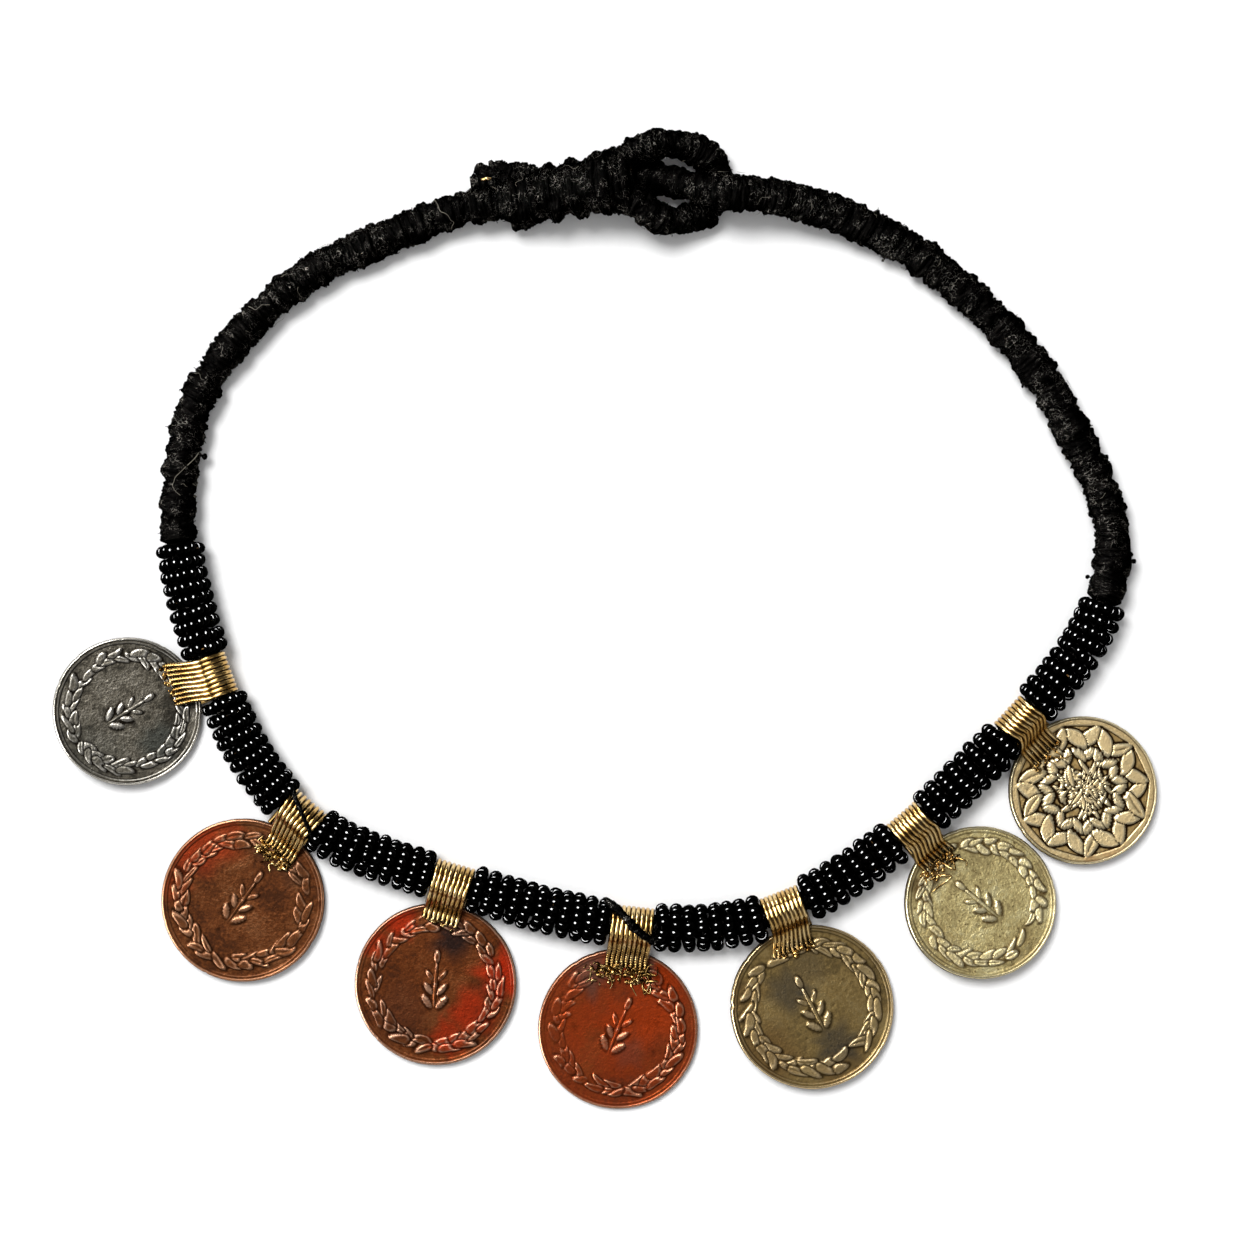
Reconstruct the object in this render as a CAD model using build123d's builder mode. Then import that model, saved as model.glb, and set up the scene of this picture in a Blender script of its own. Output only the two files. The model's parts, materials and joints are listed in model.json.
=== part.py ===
from build123d import *
from collections import namedtuple
from math import acos, atan2, cos, degrees, hypot, pi, radians, sin, tan
import os

# Coin necklace lying on a table, seen from above with its closure at the top of the page.
# Millimetres, +Z up, +X to the right, +Y towards the closure, origin on the table at the centre of the outline.

# Cord
cord_left_diameter = 5.9      # thread-wound cord, left side
cord_right_diameter = 6.1     # the same cord, wound a little thicker on the right
core_diameter = 4.2           # bare cord inside the beadwork
loop_cord_diameter = 4.7      # the wound loop of the closure
loop_leg_gap = 0.2            # between the loop's two legs where they leave the binding
loop_leg_straight = 2.35      # of each leg beyond the binding, before it bends
arc_share = 0.45              # of the shorter of two runs, taken up by the arc at their corner

# Beadwork
sleeve_diameter = 7.7         # over the seed beads
sleeve_clearance = 0.15       # between the core and the beads
sleeve_end_gap = 0.12         # between the first bead row and the wound cord
beads_start = 83.0            # along the cord from the binding to the first row of beads
beads_length = 201.5          # first row of beads to the last

# Closure
binding_diameter = 9.6
binding_length = 18.2
binding_round = 0.7
knob_diameter = 6.8
knob_neck_diameter = 4.5
knob_reach = 9.0              # end of the cord to the middle of the ball

# Coins
coin_thickness = 1.55
rim_width = 0.8
rim_height = 0.25
relief_height = 0.22
ridge_width = 0.35            # of the raised lines of the relief
dot_radius = 0.39             # of the small bosses at the tips of the ovals
boss_radius = 0.46            # of the boss in the middle of the ovals

# Bails, bands of gold wire laid side by side round the core
wire_diameter = 0.8
wire_pitch = 0.76
bail_clearance = 0.1          # between the core and the wires
bail_reach = 10.5             # inner side of the neck to the end of the leg, in plan
bail_side_gap = 0.25          # between the outer wires and the beads
bail_sink = 0.12              # how deep the leg is soldered into the coin's face
bail_bend = 0.8               # radius where the leg turns on to the coin
solder_height = 0.3           # solder bed between the leg and the coin's face
solder_margin = 0.4           # how far the bed runs past the bend, towards the cord

# The cord's route: the middle of the cord, from the binding round the front to the closure.
route_points = [
    (-17.1, 66.6, 4.85),
    (-22.2, 65.8, 4.0),
    (-27.5, 64.2, 3.3),
    (-36.5, 60.5, 3.0),
    (-46.7, 55.9, 3.0),
    (-55.0, 49.3, 3.0),
    (-61.6, 41.7, 3.0),
    (-66.1, 33.3, 3.0),
    (-67.8, 23.7, 3.2),
    (-68.3, 14.4, 3.9),
    (-66.6, 4.5, 3.9),
    (-63.3, -6.5, 3.9),
    (-59.1, -17.4, 3.9),
    (-53.3, -27.0, 3.9),
    (-44.1, -35.0, 3.9),
    (-33.3, -39.1, 3.9),
    (-23.0, -42.1, 3.9),
    (-12.6, -45.6, 3.9),
    (-2.2, -47.9, 3.9),
    (9.0, -49.3, 3.9),
    (20.0, -49.1, 3.9),
    (30.2, -45.9, 3.9),
    (39.3, -40.7, 3.9),
    (47.5, -34.6, 3.9),
    (55.7, -27.2, 3.9),
    (64.0, -19.0, 3.9),
    (71.8, -10.5, 3.9),
    (78.0, -2.1, 3.9),
    (81.1, 6.7, 3.9),
    (81.4, 14.4, 3.4),
    (79.4, 22.0, 3.1),
    (75.6, 28.9, 3.1),
    (71.7, 36.3, 3.1),
    (66.8, 43.7, 3.1),
    (59.0, 51.5, 3.1),
    (49.8, 59.0, 3.1),
    (39.7, 64.0, 3.9),
    (30.0, 66.9, 6.0),
    (24.4, 67.6, 7.9),
    (20.9, 67.8, 8.5),
    (17.7, 68.0, 8.4),
    (15.2, 68.65, 7.25),
]

# The loop's route, from one leg's start round the eye to the other leg's.
# Between the first and last runs, which follow the binding, the points are these.
loop_points = [
    (5.0, 74.5, 8.4),
    (8.5, 75.7, 7.4),
    (12.8, 75.9, 4.4),
    (16.5, 74.4, 2.8),
    (18.4, 71.0, 2.4),
    (17.9, 67.2, 2.4),
    (15.0, 64.5, 2.8),
    (11.3, 63.5, 4.4),
    (8.6, 63.9, 6.3),
    (6.2, 65.5, 7.8),
]

# Coins on their bails.  share: place along the beadwork.  reach: middle of the cord to the coin's near edge,
# as a share of the beadwork's radius.  swing: degrees that the coin hangs to one side of square.
# tilt, towards: degrees that the face leans, and the side of the page that it leans to.
# landing: where the leg comes down on the coin, from its near edge, as a share of its diameter.
# wires: number in the band.
Pendant = namedtuple("Pendant", "name diameter share reach swing tilt towards landing wires pattern")
pendants = [
    Pendant("coin_pendant_1", 23.7, 0.1095, 0.87, 1.3, 7.0, 0.0, 0.110, 9, "wreath"),
    Pendant("coin_pendant_2", 26.1, 0.2406, 0.95, 6.5, 1.5, 70.0, 0.035, 8, "wreath"),
    Pendant("coin_pendant_3", 25.9, 0.3726, 1.02, 7.8, 1.0, 80.0, 0.035, 8, "wreath"),
    Pendant("coin_pendant_4", 25.6, 0.5199, 1.10, -0.7, 0.0, 0.0, 0.035, 9, "wreath"),
    Pendant("coin_pendant_5", 26.2, 0.6430, 0.87, -6.2, 4.0, 45.0, 0.030, 9, "wreath"),
    Pendant("coin_pendant_6", 24.4, 0.7636, 1.12, 1.2, 6.0, 60.0, 0.035, 8, "wreath"),
    Pendant("coin_pendant_7", 23.7, 0.8835, 0.85, -4.4, 3.0, 100.0, 0.035, 8, "petals"),
]

# Relief of the coins: rings of leaves round the middle.  ring, length, width: shares of the coin's radius.
# slant: degrees that a leaf leans away from the ring.  shift: share of a step that the ring is turned by.
LeafRing = namedtuple("LeafRing", "ring count length width slant shift")
wreath_rings = [
    LeafRing(0.815, 17, 0.29, 0.085, 24.0, 0.0),
    LeafRing(0.735, 17, 0.29, 0.085, -24.0, 0.5),
]
petal_rings = [
    LeafRing(0.785, 14, 0.26, 0.105, -52.0, -0.25),
    LeafRing(0.785, 14, 0.26, 0.105, 52.0, 0.25),
    LeafRing(0.585, 14, 0.18, 0.075, -52.0, -0.25),
    LeafRing(0.585, 14, 0.18, 0.075, 52.0, 0.25),
]
# A small sprig in the middle of the wreath, in shares of the coin's radius and degrees.
sprig = dict(lean=70.0, length=0.62, width=0.045, leaf_length=0.16, leaf_width=0.06)
sprig_leaves = dict(steps=(-0.16, -0.02, 0.12), aside=0.085, spread=42.0)
# Three interlaced ovals in the middle of the petals, in shares of the coin's radius.
ovals = dict(turns=(0, 60, 120), long=0.40, short=0.17, dots=0.29)


def corner_radii(points):
    """Arcs as large as their two runs allow."""
    radii = []
    corners = [Vector(*p) for p in points]
    for before, here, after in zip(corners, corners[1:], corners[2:]):
        first = here - before
        second = after - here
        turn = radians(first.get_angle(second))
        radii.append(arc_share * min(first.length, second.length) / tan(turn / 2))
    return radii


def outward(direction):
    """Level direction square to the cord, away from the neck."""
    return Vector(direction.Y, -direction.X, 0).normalized()


def section_plane(wire):
    """Plane square to a wire at its start."""
    return Plane(origin=wire @ 0, z_dir=wire % 0)


os.makedirs("parts", exist_ok=True)

# Routes
route_radii = corner_radii(route_points)
with BuildLine() as route_line:
    FilletPolyline(*route_points, radius=route_radii)
route = route_line.wire()
route_length = route.length
print("route", round(route_length, 1), "mm, radii", [round(r, 1) for r in route_radii])


def cut_route(start, end):
    """The stretch of the route between two places along it."""
    return route.trim(start / route_length, end / route_length)


def write(part, name):
    part.label = name
    export_step(part, f"parts/{name}.step")


# Wound cords, left and right, and the bare core between them
beads_end = beads_start + beads_length
cord_stretches = [
    ("cord_left", cord_left_diameter, 0.0, beads_start),
    ("cord_core", core_diameter, beads_start, beads_end),
    ("cord_right", cord_right_diameter, beads_end, route_length),
]
for name, diameter, start, end in cord_stretches:
    stretch = cut_route(start, end)
    with BuildPart() as cord:
        with BuildSketch(section_plane(stretch)):
            Circle(diameter / 2)
        sweep(path=stretch)
    write(cord.part, name)
    tube_volume = pi * (diameter / 2) ** 2 * stretch.length
    print(name, "length", round(stretch.length, 1), "volume share", round(cord.part.volume / tube_volume, 4))

# Bead sleeves, one on each side of every bail
places = [beads_start + p.share * beads_length for p in pendants]
half_widths = [((p.wires - 1) * wire_pitch + wire_diameter) / 2 + bail_side_gap for p in pendants]
sleeve_starts = [beads_start + sleeve_end_gap] + [s + h for s, h in zip(places, half_widths)]
sleeve_ends = [s - h for s, h in zip(places, half_widths)] + [beads_end - sleeve_end_gap]
for number, (start, end) in enumerate(zip(sleeve_starts, sleeve_ends), 1):
    stretch = cut_route(start, end)
    with BuildPart() as sleeve:
        with BuildSketch(section_plane(stretch)):
            Circle(sleeve_diameter / 2)
            Circle(core_diameter / 2 + sleeve_clearance, mode=Mode.SUBTRACT)
        sweep(path=stretch)
    write(sleeve.part, f"bead_sleeve_{number}")
    print("bead_sleeve", number, round(start, 1), round(end, 1), round(sleeve.part.volume, 1))

# Binding, a thick wrapping of thread over the doubled cord
binding_plane = Plane(origin=route @ 0, z_dir=-(route % 0))
binding_end = binding_plane.origin + binding_plane.z_dir * binding_length
with BuildPart() as binding:
    with BuildSketch(binding_plane):
        Circle(binding_diameter / 2)
    extrude(amount=binding_length)
    fillet(binding.edges().filter_by(GeomType.CIRCLE).sort_by(Axis.X)[0], radius=binding_round)
write(binding.part, "binding")

# Loop, a wound cord whose two legs stand side by side on the binding's end
leg_offset = Vector(-binding_plane.z_dir.Y, binding_plane.z_dir.X, 0).normalized()
leg_offset = leg_offset * (loop_cord_diameter + loop_leg_gap) / 2
leg_run = binding_plane.z_dir * loop_leg_straight
leg_starts = [binding_end + leg_offset, binding_end - leg_offset]
loop_route_points = [
    leg_starts[0],
    leg_starts[0] + leg_run,
    *[Vector(*p) for p in loop_points],
    leg_starts[1] + leg_run,
    leg_starts[1],
]
loop_radii = corner_radii([tuple(p) for p in loop_route_points])
print("loop radii", [round(r, 1) for r in loop_radii])
with BuildLine() as loop_line:
    FilletPolyline(*loop_route_points, radius=loop_radii)
loop_wire = loop_line.wire()
with BuildPart() as loop_eye:
    with BuildSketch(section_plane(loop_wire)):
        Circle(loop_cord_diameter / 2)
    sweep(path=loop_wire)
write(loop_eye.part, "loop_eye")
print("loop_eye length", round(loop_wire.length, 1))

# Knob, a wound ball on a short neck at the end of the cord
knob_axis = Axis(route @ 1, route % 1)
knob_plane = Plane(origin=route @ 1, x_dir=route % 1, z_dir=(route % 1).cross(Vector(0, 0, 1)))
ball = knob_diameter / 2
neck = knob_neck_diameter / 2
neck_end = knob_reach - (ball**2 - neck**2) ** 0.5
with BuildPart() as knob:
    with BuildSketch(knob_plane):
        with BuildLine():
            Polyline((0, 0), (0, neck), (neck_end, neck))
            ThreePointArc((neck_end, neck), (knob_reach, ball), (knob_reach + ball, 0))
            Line((knob_reach + ball, 0), (0, 0))
        make_face()
    revolve(axis=knob_axis)
write(knob.part, "knob")


def leaf(length, width):
    """A pointed leaf between two arcs, lying along X."""
    with BuildSketch() as blade:
        with BuildLine():
            ThreePointArc((-length / 2, 0), (0, width / 2), (length / 2, 0))
            ThreePointArc((length / 2, 0), (0, -width / 2), (-length / 2, 0))
        make_face()
    return blade.sketch


def leaf_ring(row, radius):
    """Leaves round the middle, added to the sketch that is open."""
    step = 360 / row.count
    blade = leaf(radius * row.length, radius * row.width)
    with PolarLocations(radius * row.ring, row.count, start_angle=row.shift * step):
        add(blade, rotation=90 + row.slant)


def wreath_relief(radius):
    """Paired leaves round the edge and a small sprig in the middle."""
    stem = leaf(radius * sprig["length"], radius * sprig["width"])
    sprig_leaf = leaf(radius * sprig["leaf_length"], radius * sprig["leaf_width"])
    with BuildSketch() as relief:
        for row in wreath_rings:
            leaf_ring(row, radius)
        with Locations(Rotation(0, 0, sprig["lean"])):
            add(stem)
            for step in sprig_leaves["steps"]:
                for side in (-1, 1):
                    with Locations((step * radius, side * sprig_leaves["aside"] * radius)):
                        add(sprig_leaf, rotation=side * sprig_leaves["spread"])
    return relief.sketch


def petal_relief(radius):
    """Two rings of leaf pairs and an interlaced figure of three ovals in the middle."""
    long_half = radius * ovals["long"]
    short_half = radius * ovals["short"]
    dots = radius * ovals["dots"]
    with BuildSketch() as relief:
        for row in petal_rings:
            leaf_ring(row, radius)
        for turn in ovals["turns"]:
            Ellipse(long_half, short_half, rotation=turn)
        for turn in ovals["turns"]:
            Ellipse(long_half - ridge_width, short_half - ridge_width, rotation=turn, mode=Mode.SUBTRACT)
        for turn in ovals["turns"]:
            with Locations(Rotation(0, 0, turn)):
                with Locations((dots, 0), (-dots, 0)):
                    Circle(dot_radius)
        Circle(boss_radius)
    return relief.sketch


def touch_point(point, radius, side):
    """Where a line from a point touches a circle round the middle of the cord, above or below."""
    angle = atan2(point[1], point[0]) + side * acos(radius / hypot(*point))
    return (radius * cos(angle), radius * sin(angle)), degrees(angle)


# Coin pendants
bail_radius = core_diameter / 2 + bail_clearance + wire_diameter / 2
leg_height = wire_diameter / 2 - bail_sink
leg_end = bail_reach - bail_radius - wire_diameter / 2
for row, place in zip(pendants, places):
    hook = route @ (place / route_length)
    along_cord = route % (place / route_length)
    square = outward(along_cord)
    hang = square.rotate(Axis.Z, row.swing)
    radius = row.diameter / 2
    near_edge = row.reach * sleeve_diameter / 2
    normal = Vector(0, 0, 1).rotate(Axis.Y, row.tilt).rotate(Axis.Z, row.towards)
    centre = Vector(hook.X, hook.Y, 0) + hang * (near_edge + radius)
    centre.Z = radius * sin(radians(row.tilt))
    coin_plane = Plane(origin=centre, x_dir=normal.cross(hang), z_dir=normal)
    face_plane = coin_plane.offset(coin_thickness)

    def height_on_face(reach):
        """Height of the coin's face above the middle of the cord, at a distance square to the cord."""
        place_on_page = Vector(hook.X, hook.Y, 0) + square * reach
        from_middle = place_on_page - face_plane.origin
        drop = (normal.X * from_middle.X + normal.Y * from_middle.Y) / normal.Z
        return face_plane.origin.Z - drop - hook.Z

    landing = near_edge + row.landing * row.diameter + rim_width
    leg_tip = (leg_end, height_on_face(leg_end) + leg_height)
    leg_bend = (landing, height_on_face(landing) + leg_height)
    under_edge = near_edge + wire_diameter
    leg_under = (under_edge, height_on_face(under_edge) - coin_thickness / 2)
    over_point, over_angle = touch_point(leg_bend, bail_radius, 1)
    under_point, under_angle = touch_point(leg_under, bail_radius, -1)
    bail_plane = Plane(origin=hook, x_dir=square, z_dir=square.cross(Vector(0, 0, 1)))
    with BuildLine(bail_plane) as bail_line:
        FilletPolyline(leg_tip, leg_bend, over_point, radius=bail_bend)
        CenterArc((0, 0), bail_radius, over_angle, 360 + under_angle - over_angle)
        Line(under_point, leg_under)
    bail_path = bail_line.wire()
    bed_start = landing - solder_margin
    bed_middle = (bed_start + leg_end) / 2
    bed_place = bail_plane.from_local_coords((bed_middle, height_on_face(bed_middle), 0))
    bed_plane = Plane(origin=bed_place, x_dir=normal.cross(square), z_dir=normal)
    relief_sketch = wreath_relief(radius) if row.pattern == "wreath" else petal_relief(radius)
    with BuildPart() as pendant:
        with BuildSketch(coin_plane):
            Circle(radius)
        extrude(amount=coin_thickness)
        with BuildSketch(face_plane):
            Circle(radius)
            Circle(radius - rim_width, mode=Mode.SUBTRACT)
        extrude(amount=rim_height)
        with BuildSketch(face_plane):
            add(relief_sketch)
        extrude(amount=relief_height)
        with BuildSketch(bed_plane):
            Rectangle((row.wires - 1) * wire_pitch, leg_end - bed_start)
        extrude(amount=solder_height)
        with BuildSketch(Plane(origin=bail_path @ 0, x_dir=along_cord, z_dir=bail_path % 0)):
            with GridLocations(wire_pitch, 0, row.wires, 1):
                Circle(wire_diameter / 2)
        sweep(path=bail_path)
    write(pendant.part, row.name)
    print(row.name, "volume", round(pendant.part.volume, 1), "middle", centre)
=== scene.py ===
import json
import bpy
import numpy as np
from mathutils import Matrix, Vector

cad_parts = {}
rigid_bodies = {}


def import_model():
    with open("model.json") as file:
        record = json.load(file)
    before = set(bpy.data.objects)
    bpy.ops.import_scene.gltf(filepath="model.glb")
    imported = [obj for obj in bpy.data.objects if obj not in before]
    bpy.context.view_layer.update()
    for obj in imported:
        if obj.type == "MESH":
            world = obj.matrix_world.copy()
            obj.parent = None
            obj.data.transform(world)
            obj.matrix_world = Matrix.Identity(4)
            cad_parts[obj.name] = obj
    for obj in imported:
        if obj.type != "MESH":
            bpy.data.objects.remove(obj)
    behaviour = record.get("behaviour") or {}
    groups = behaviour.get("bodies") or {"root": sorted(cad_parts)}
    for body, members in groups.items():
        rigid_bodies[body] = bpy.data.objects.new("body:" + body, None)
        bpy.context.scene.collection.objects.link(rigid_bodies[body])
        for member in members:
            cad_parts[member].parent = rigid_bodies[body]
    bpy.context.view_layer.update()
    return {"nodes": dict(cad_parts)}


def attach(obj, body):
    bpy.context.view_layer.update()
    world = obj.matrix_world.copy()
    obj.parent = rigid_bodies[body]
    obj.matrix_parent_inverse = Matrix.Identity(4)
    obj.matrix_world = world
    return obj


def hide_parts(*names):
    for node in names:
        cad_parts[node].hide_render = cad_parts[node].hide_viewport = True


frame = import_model()
mm = 0.001
print("frame loaded")

# The cord's route, from the binding round the front to the closure, as in the part's source, in metres.
routePoints = [
    (-0.0171, 0.0666, 0.00485), (-0.0222, 0.0658, 0.0040), (-0.0275, 0.0642, 0.0033),
    (-0.0365, 0.0605, 0.0030), (-0.0467, 0.0559, 0.0030), (-0.0550, 0.0493, 0.0030),
    (-0.0616, 0.0417, 0.0030), (-0.0661, 0.0333, 0.0030), (-0.0678, 0.0237, 0.0032),
    (-0.0683, 0.0144, 0.0039), (-0.0666, 0.0045, 0.0039), (-0.0633, -0.0065, 0.0039),
    (-0.0591, -0.0174, 0.0039), (-0.0533, -0.0270, 0.0039), (-0.0441, -0.0350, 0.0039),
    (-0.0333, -0.0391, 0.0039), (-0.0230, -0.0421, 0.0039), (-0.0126, -0.0456, 0.0039),
    (-0.0022, -0.0479, 0.0039), (0.0090, -0.0493, 0.0039), (0.0200, -0.0491, 0.0039),
    (0.0302, -0.0459, 0.0039), (0.0393, -0.0407, 0.0039), (0.0475, -0.0346, 0.0039),
    (0.0557, -0.0272, 0.0039), (0.0640, -0.0190, 0.0039), (0.0718, -0.0105, 0.0039),
    (0.0780, -0.0021, 0.0039), (0.0811, 0.0067, 0.0039), (0.0814, 0.0144, 0.0034),
    (0.0794, 0.0220, 0.0031), (0.0756, 0.0289, 0.0031), (0.0717, 0.0363, 0.0031),
    (0.0668, 0.0437, 0.0031), (0.0590, 0.0515, 0.0031), (0.0498, 0.0590, 0.0031),
    (0.0397, 0.0640, 0.0039), (0.0300, 0.0669, 0.0060), (0.0244, 0.0676, 0.0079),
    (0.0209, 0.0678, 0.0085), (0.0177, 0.0680, 0.0084), (0.0152, 0.06865, 0.00725),
]
# The loop's route, between its two legs.
loopPoints = [
    (0.0050, 0.0745, 0.0084), (0.0085, 0.0757, 0.0074), (0.0128, 0.0759, 0.0044),
    (0.0165, 0.0744, 0.0028), (0.0184, 0.0710, 0.0024), (0.0179, 0.0672, 0.0024),
    (0.0150, 0.0645, 0.0028), (0.0113, 0.0635, 0.0044), (0.0086, 0.0639, 0.0063),
    (0.0062, 0.0655, 0.0078),
]
cords = {
    "tubeLength": 389.0 * mm,      # of the whole route in the part's source
    "beadsStart": 83.0 * mm,       # along it
    "beadsLength": 201.5 * mm,
    "leftGirth": 5.9 * mm,
    "rightGirth": 6.1 * mm,
    "coreGirth": 4.2 * mm,
    "loopGirth": 4.7 * mm,
    "legGap": 0.2 * mm,
    "legStraight": 2.35 * mm,
    "bindingLength": 18.2 * mm,
    "bindingGirth": 9.6 * mm,
    "knobGirth": 6.8 * mm,
    "neckGirth": 5.3 * mm,
    "knobReach": 9.0 * mm,         # end of the cord to the middle of the knob
}
# Where the random draws start.  Each piece has its own, so a change to one leaves the others as they are.
seeds = {
    "cordLeft": 11,
    "cordRight": 12,
    "core": 13,
    "binding": 14,
    "loop": 15,
    "knob": 16,
    "nubs": 21,                    # counted on from here, piece by piece, and so are those below
    "paleFibres": 25,
    "threadEnds": 29,
    "stubs": 31,
    "coins": 40,
    "bails": 60,
    "solder": 80,
    "strands": 90,
    "beads": 100,
}
fullTurn = 2 * np.pi
upward = np.array([0, 0, 1.0])


# Lines

# A line straight from point to point, with the arc length at each of them.
def lineThrough(points):
    points = np.asarray(points, float)
    runs = np.linalg.norm(np.diff(points, axis=0), axis=1)
    return {"points": points, "lengths": np.concatenate([[0], np.cumsum(runs)])}


# The places of a mesh's vertices as an array.
def vertexPlaces(mesh):
    places = np.empty(len(mesh.vertices) * 3)
    mesh.vertices.foreach_get("co", places)
    return places.reshape(-1, 3)


# A smooth NURBS line, with the given points as its control points, read off as points close together.
def readLine(name, points):
    curve = bpy.data.curves.new(name, "CURVE")
    curve.dimensions = "3D"
    curve.resolution_u = 24      # points read off between two of the given ones
    spline = curve.splines.new("NURBS")
    spline.points.add(len(points) - 1)
    spline.points.foreach_set("co", np.column_stack([points, np.ones(len(points))]).ravel())
    spline.order_u = 3
    spline.use_endpoint_u = True
    holder = bpy.data.objects.new(name, curve)
    mesh = bpy.data.meshes.new_from_object(holder)
    places = vertexPlaces(mesh)
    bpy.data.objects.remove(holder)
    bpy.data.meshes.remove(mesh)
    bpy.data.curves.remove(curve)
    return lineThrough(places)


def unit(vectors):
    return vectors / np.linalg.norm(vectors, axis=-1, keepdims=True)


# Points on a line at given arc lengths, straight on past its ends.
def placesOn(line, stations):
    lengths = line["lengths"]
    points = line["points"]
    inside = np.column_stack([np.interp(stations, lengths, column) for column in points.T])
    before = np.minimum(stations, 0)[:, None] * unit(points[1] - points[0])
    after = np.maximum(stations - lengths[-1], 0)[:, None] * unit(points[-1] - points[-2])
    return inside + before + after


# Point, tangent, level side direction and upward direction at each arc length.
def framesOn(line, stations):
    stations = np.asarray(stations, float)
    nearby = 0.25 * mm
    points = placesOn(line, stations)
    tangents = unit(placesOn(line, stations + nearby) - placesOn(line, stations - nearby))
    sides = unit(np.column_stack([tangents[:, 1], -tangents[:, 0], np.zeros(len(stations))]))
    ups = np.cross(sides, tangents)
    return points, tangents, sides, ups


# Angles evenly round a ring.
def anglesRound(count):
    return np.arange(count) * fullTurn / count


# Directions from a line to points round it, by station and angle: cos(angle) x side + sin(angle) x up.
def directionsRound(angles, sides, ups):
    return np.cos(angles)[:, None] * sides[..., None, :] + np.sin(angles)[:, None] * ups[..., None, :]


routeLine = readLine("routeLine", routePoints)
lineShare = routeLine["lengths"][-1] / cords["tubeLength"]   # the smooth line cuts the corners a little
print("route", round(routeLine["lengths"][-1] / mm, 1), "mm, share of the tube", round(lineShare, 4))


# Meshes

# Four-cornered faces of a grid of points, row after row, closed round each row.  A ring also closes from its last
# row to its first.
def gridQuads(rows, columns, ring=False):
    first = np.arange(rows if ring else rows - 1)[:, None]
    row = first * columns
    nextRow = (first + 1) % rows * columns
    here = np.arange(columns)[None, :]
    there = (here + 1) % columns
    return np.stack([row + here, nextRow + here, nextRow + there, row + there], -1).reshape(-1, 4)


# The faces of a closed tube: its side, one flat face on the first row and one on the last.
def tubeFaces(rows, columns):
    row = np.arange(columns)[None, :]
    return [gridQuads(rows, columns), row, (rows - 1) * columns + row[:, ::-1]]


# Several shapes, each a pair of points and face arrays, as one.
def joined(shapes):
    points = []
    faces = []
    count = 0
    for somePoints, someFaces in shapes:
        points.append(somePoints)
        faces += [group + count for group in someFaces]
        count += len(somePoints)
    return np.concatenate(points), faces


# The faces of many like shapes whose points follow each other in one array.
def repeated(points, faces, copies):
    starts = (np.arange(copies) * points)[:, None, None]
    return [(group[None] + starts).reshape(-1, group.shape[1]) for group in faces]


# A mesh object from an array of points and arrays of faces, lying where its points say.
def addPiece(name, points, faces, material, nodes=(), attributes=None):
    mesh = bpy.data.meshes.new(name)
    corners = np.concatenate([group.ravel() for group in faces]).astype(np.int32)
    counts = np.concatenate([np.full(len(group), group.shape[1]) for group in faces]).astype(np.int32)
    mesh.vertices.add(len(points))
    mesh.vertices.foreach_set("co", np.asarray(points, np.float32).ravel())
    mesh.loops.add(len(corners))
    mesh.loops.foreach_set("vertex_index", corners)
    mesh.polygons.add(len(counts))
    mesh.polygons.foreach_set("loop_start", (np.cumsum(counts) - counts).astype(np.int32))
    mesh.update(calc_edges=True)
    mesh.validate()
    mesh.shade_smooth()
    for key, values in (attributes or {}).items():
        layer = mesh.attributes.new(key, "FLOAT", "POINT")
        layer.data.foreach_set("value", np.asarray(values, np.float32).ravel())
    mesh.materials.append(material)
    piece = bpy.data.objects.new(name, mesh)
    bpy.context.scene.collection.objects.link(piece)
    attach(piece, "root")
    if nodes:
        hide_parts(*nodes)
    return piece


# Points with what would sink into the table pressed flat on it.
def aboveTable(points, clearance=0.02 * mm):
    lifted = points.copy()
    lifted[..., 2] = np.maximum(lifted[..., 2], clearance)
    return lifted


# 0 below low, 1 above high, and a smooth rise between.
def softStep(low, high, values):
    share = np.clip((values - low) / (high - low), 0, 1)
    return share * share * (3 - 2 * share)


# A bell curve's value, 1 in the middle.
def bell(away, width):
    return np.exp(-(away / width) ** 2)


# A sum of sines of random length and phase, about -1 to 1, along one parameter.
def waves(generator, values, count, longest, shortest):
    lengths = generator.uniform(shortest, longest, count)
    phases = generator.uniform(0, fullTurn, count)
    total = sum(np.sin(fullTurn * values / one + phase) for one, phase in zip(lengths, phases))
    return total / np.sqrt(count)


# Materials

noTint = {"Specular Tint": (0.0, 0.0, 0.0, 1.0)}      # without it a nearly black skin has a pale rim
dull = {"Specular IOR Level": 0.15}


# A material with one shader, and its fixed values set on the shader's own sockets.
def newMaterial(name, **values):
    material = bpy.data.materials.new(name)
    material.use_nodes = True
    shader = material.node_tree.nodes["Principled BSDF"]
    for key, value in values.items():
        shader.inputs[key].default_value = value
    return material, material.node_tree, shader


# A node with its settings, and its inputs by name or number set or linked.
def addNode(tree, kind, inputs=None, **settings):
    node = tree.nodes.new(kind)
    for key, value in settings.items():
        setattr(node, key, value)
    for key, value in (inputs or {}).items():
        if isinstance(value, bpy.types.NodeSocket):
            tree.links.new(value, node.inputs[key])
        else:
            node.inputs[key].default_value = value
    return node


def objectPlace(tree):
    return addNode(tree, "ShaderNodeTexCoord").outputs["Object"]


# A settings dictionary gives each noise as (scale, detail) or (scale, detail, roughness).
def noise(tree, place, scale, detail, roughness=0.6):
    return addNode(tree, "ShaderNodeTexNoise", {"Vector": place, "Scale": scale, "Detail": detail,
                                                "Roughness": roughness}).outputs["Fac"]


def attribute(tree, name):
    return addNode(tree, "ShaderNodeAttribute", attribute_name=name).outputs["Fac"]


# The four numbers of a colour, from its three or from a grey's one.
def colourOf(value):
    return (*value, 1) if isinstance(value, tuple) else (value, value, value, 1)


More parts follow.
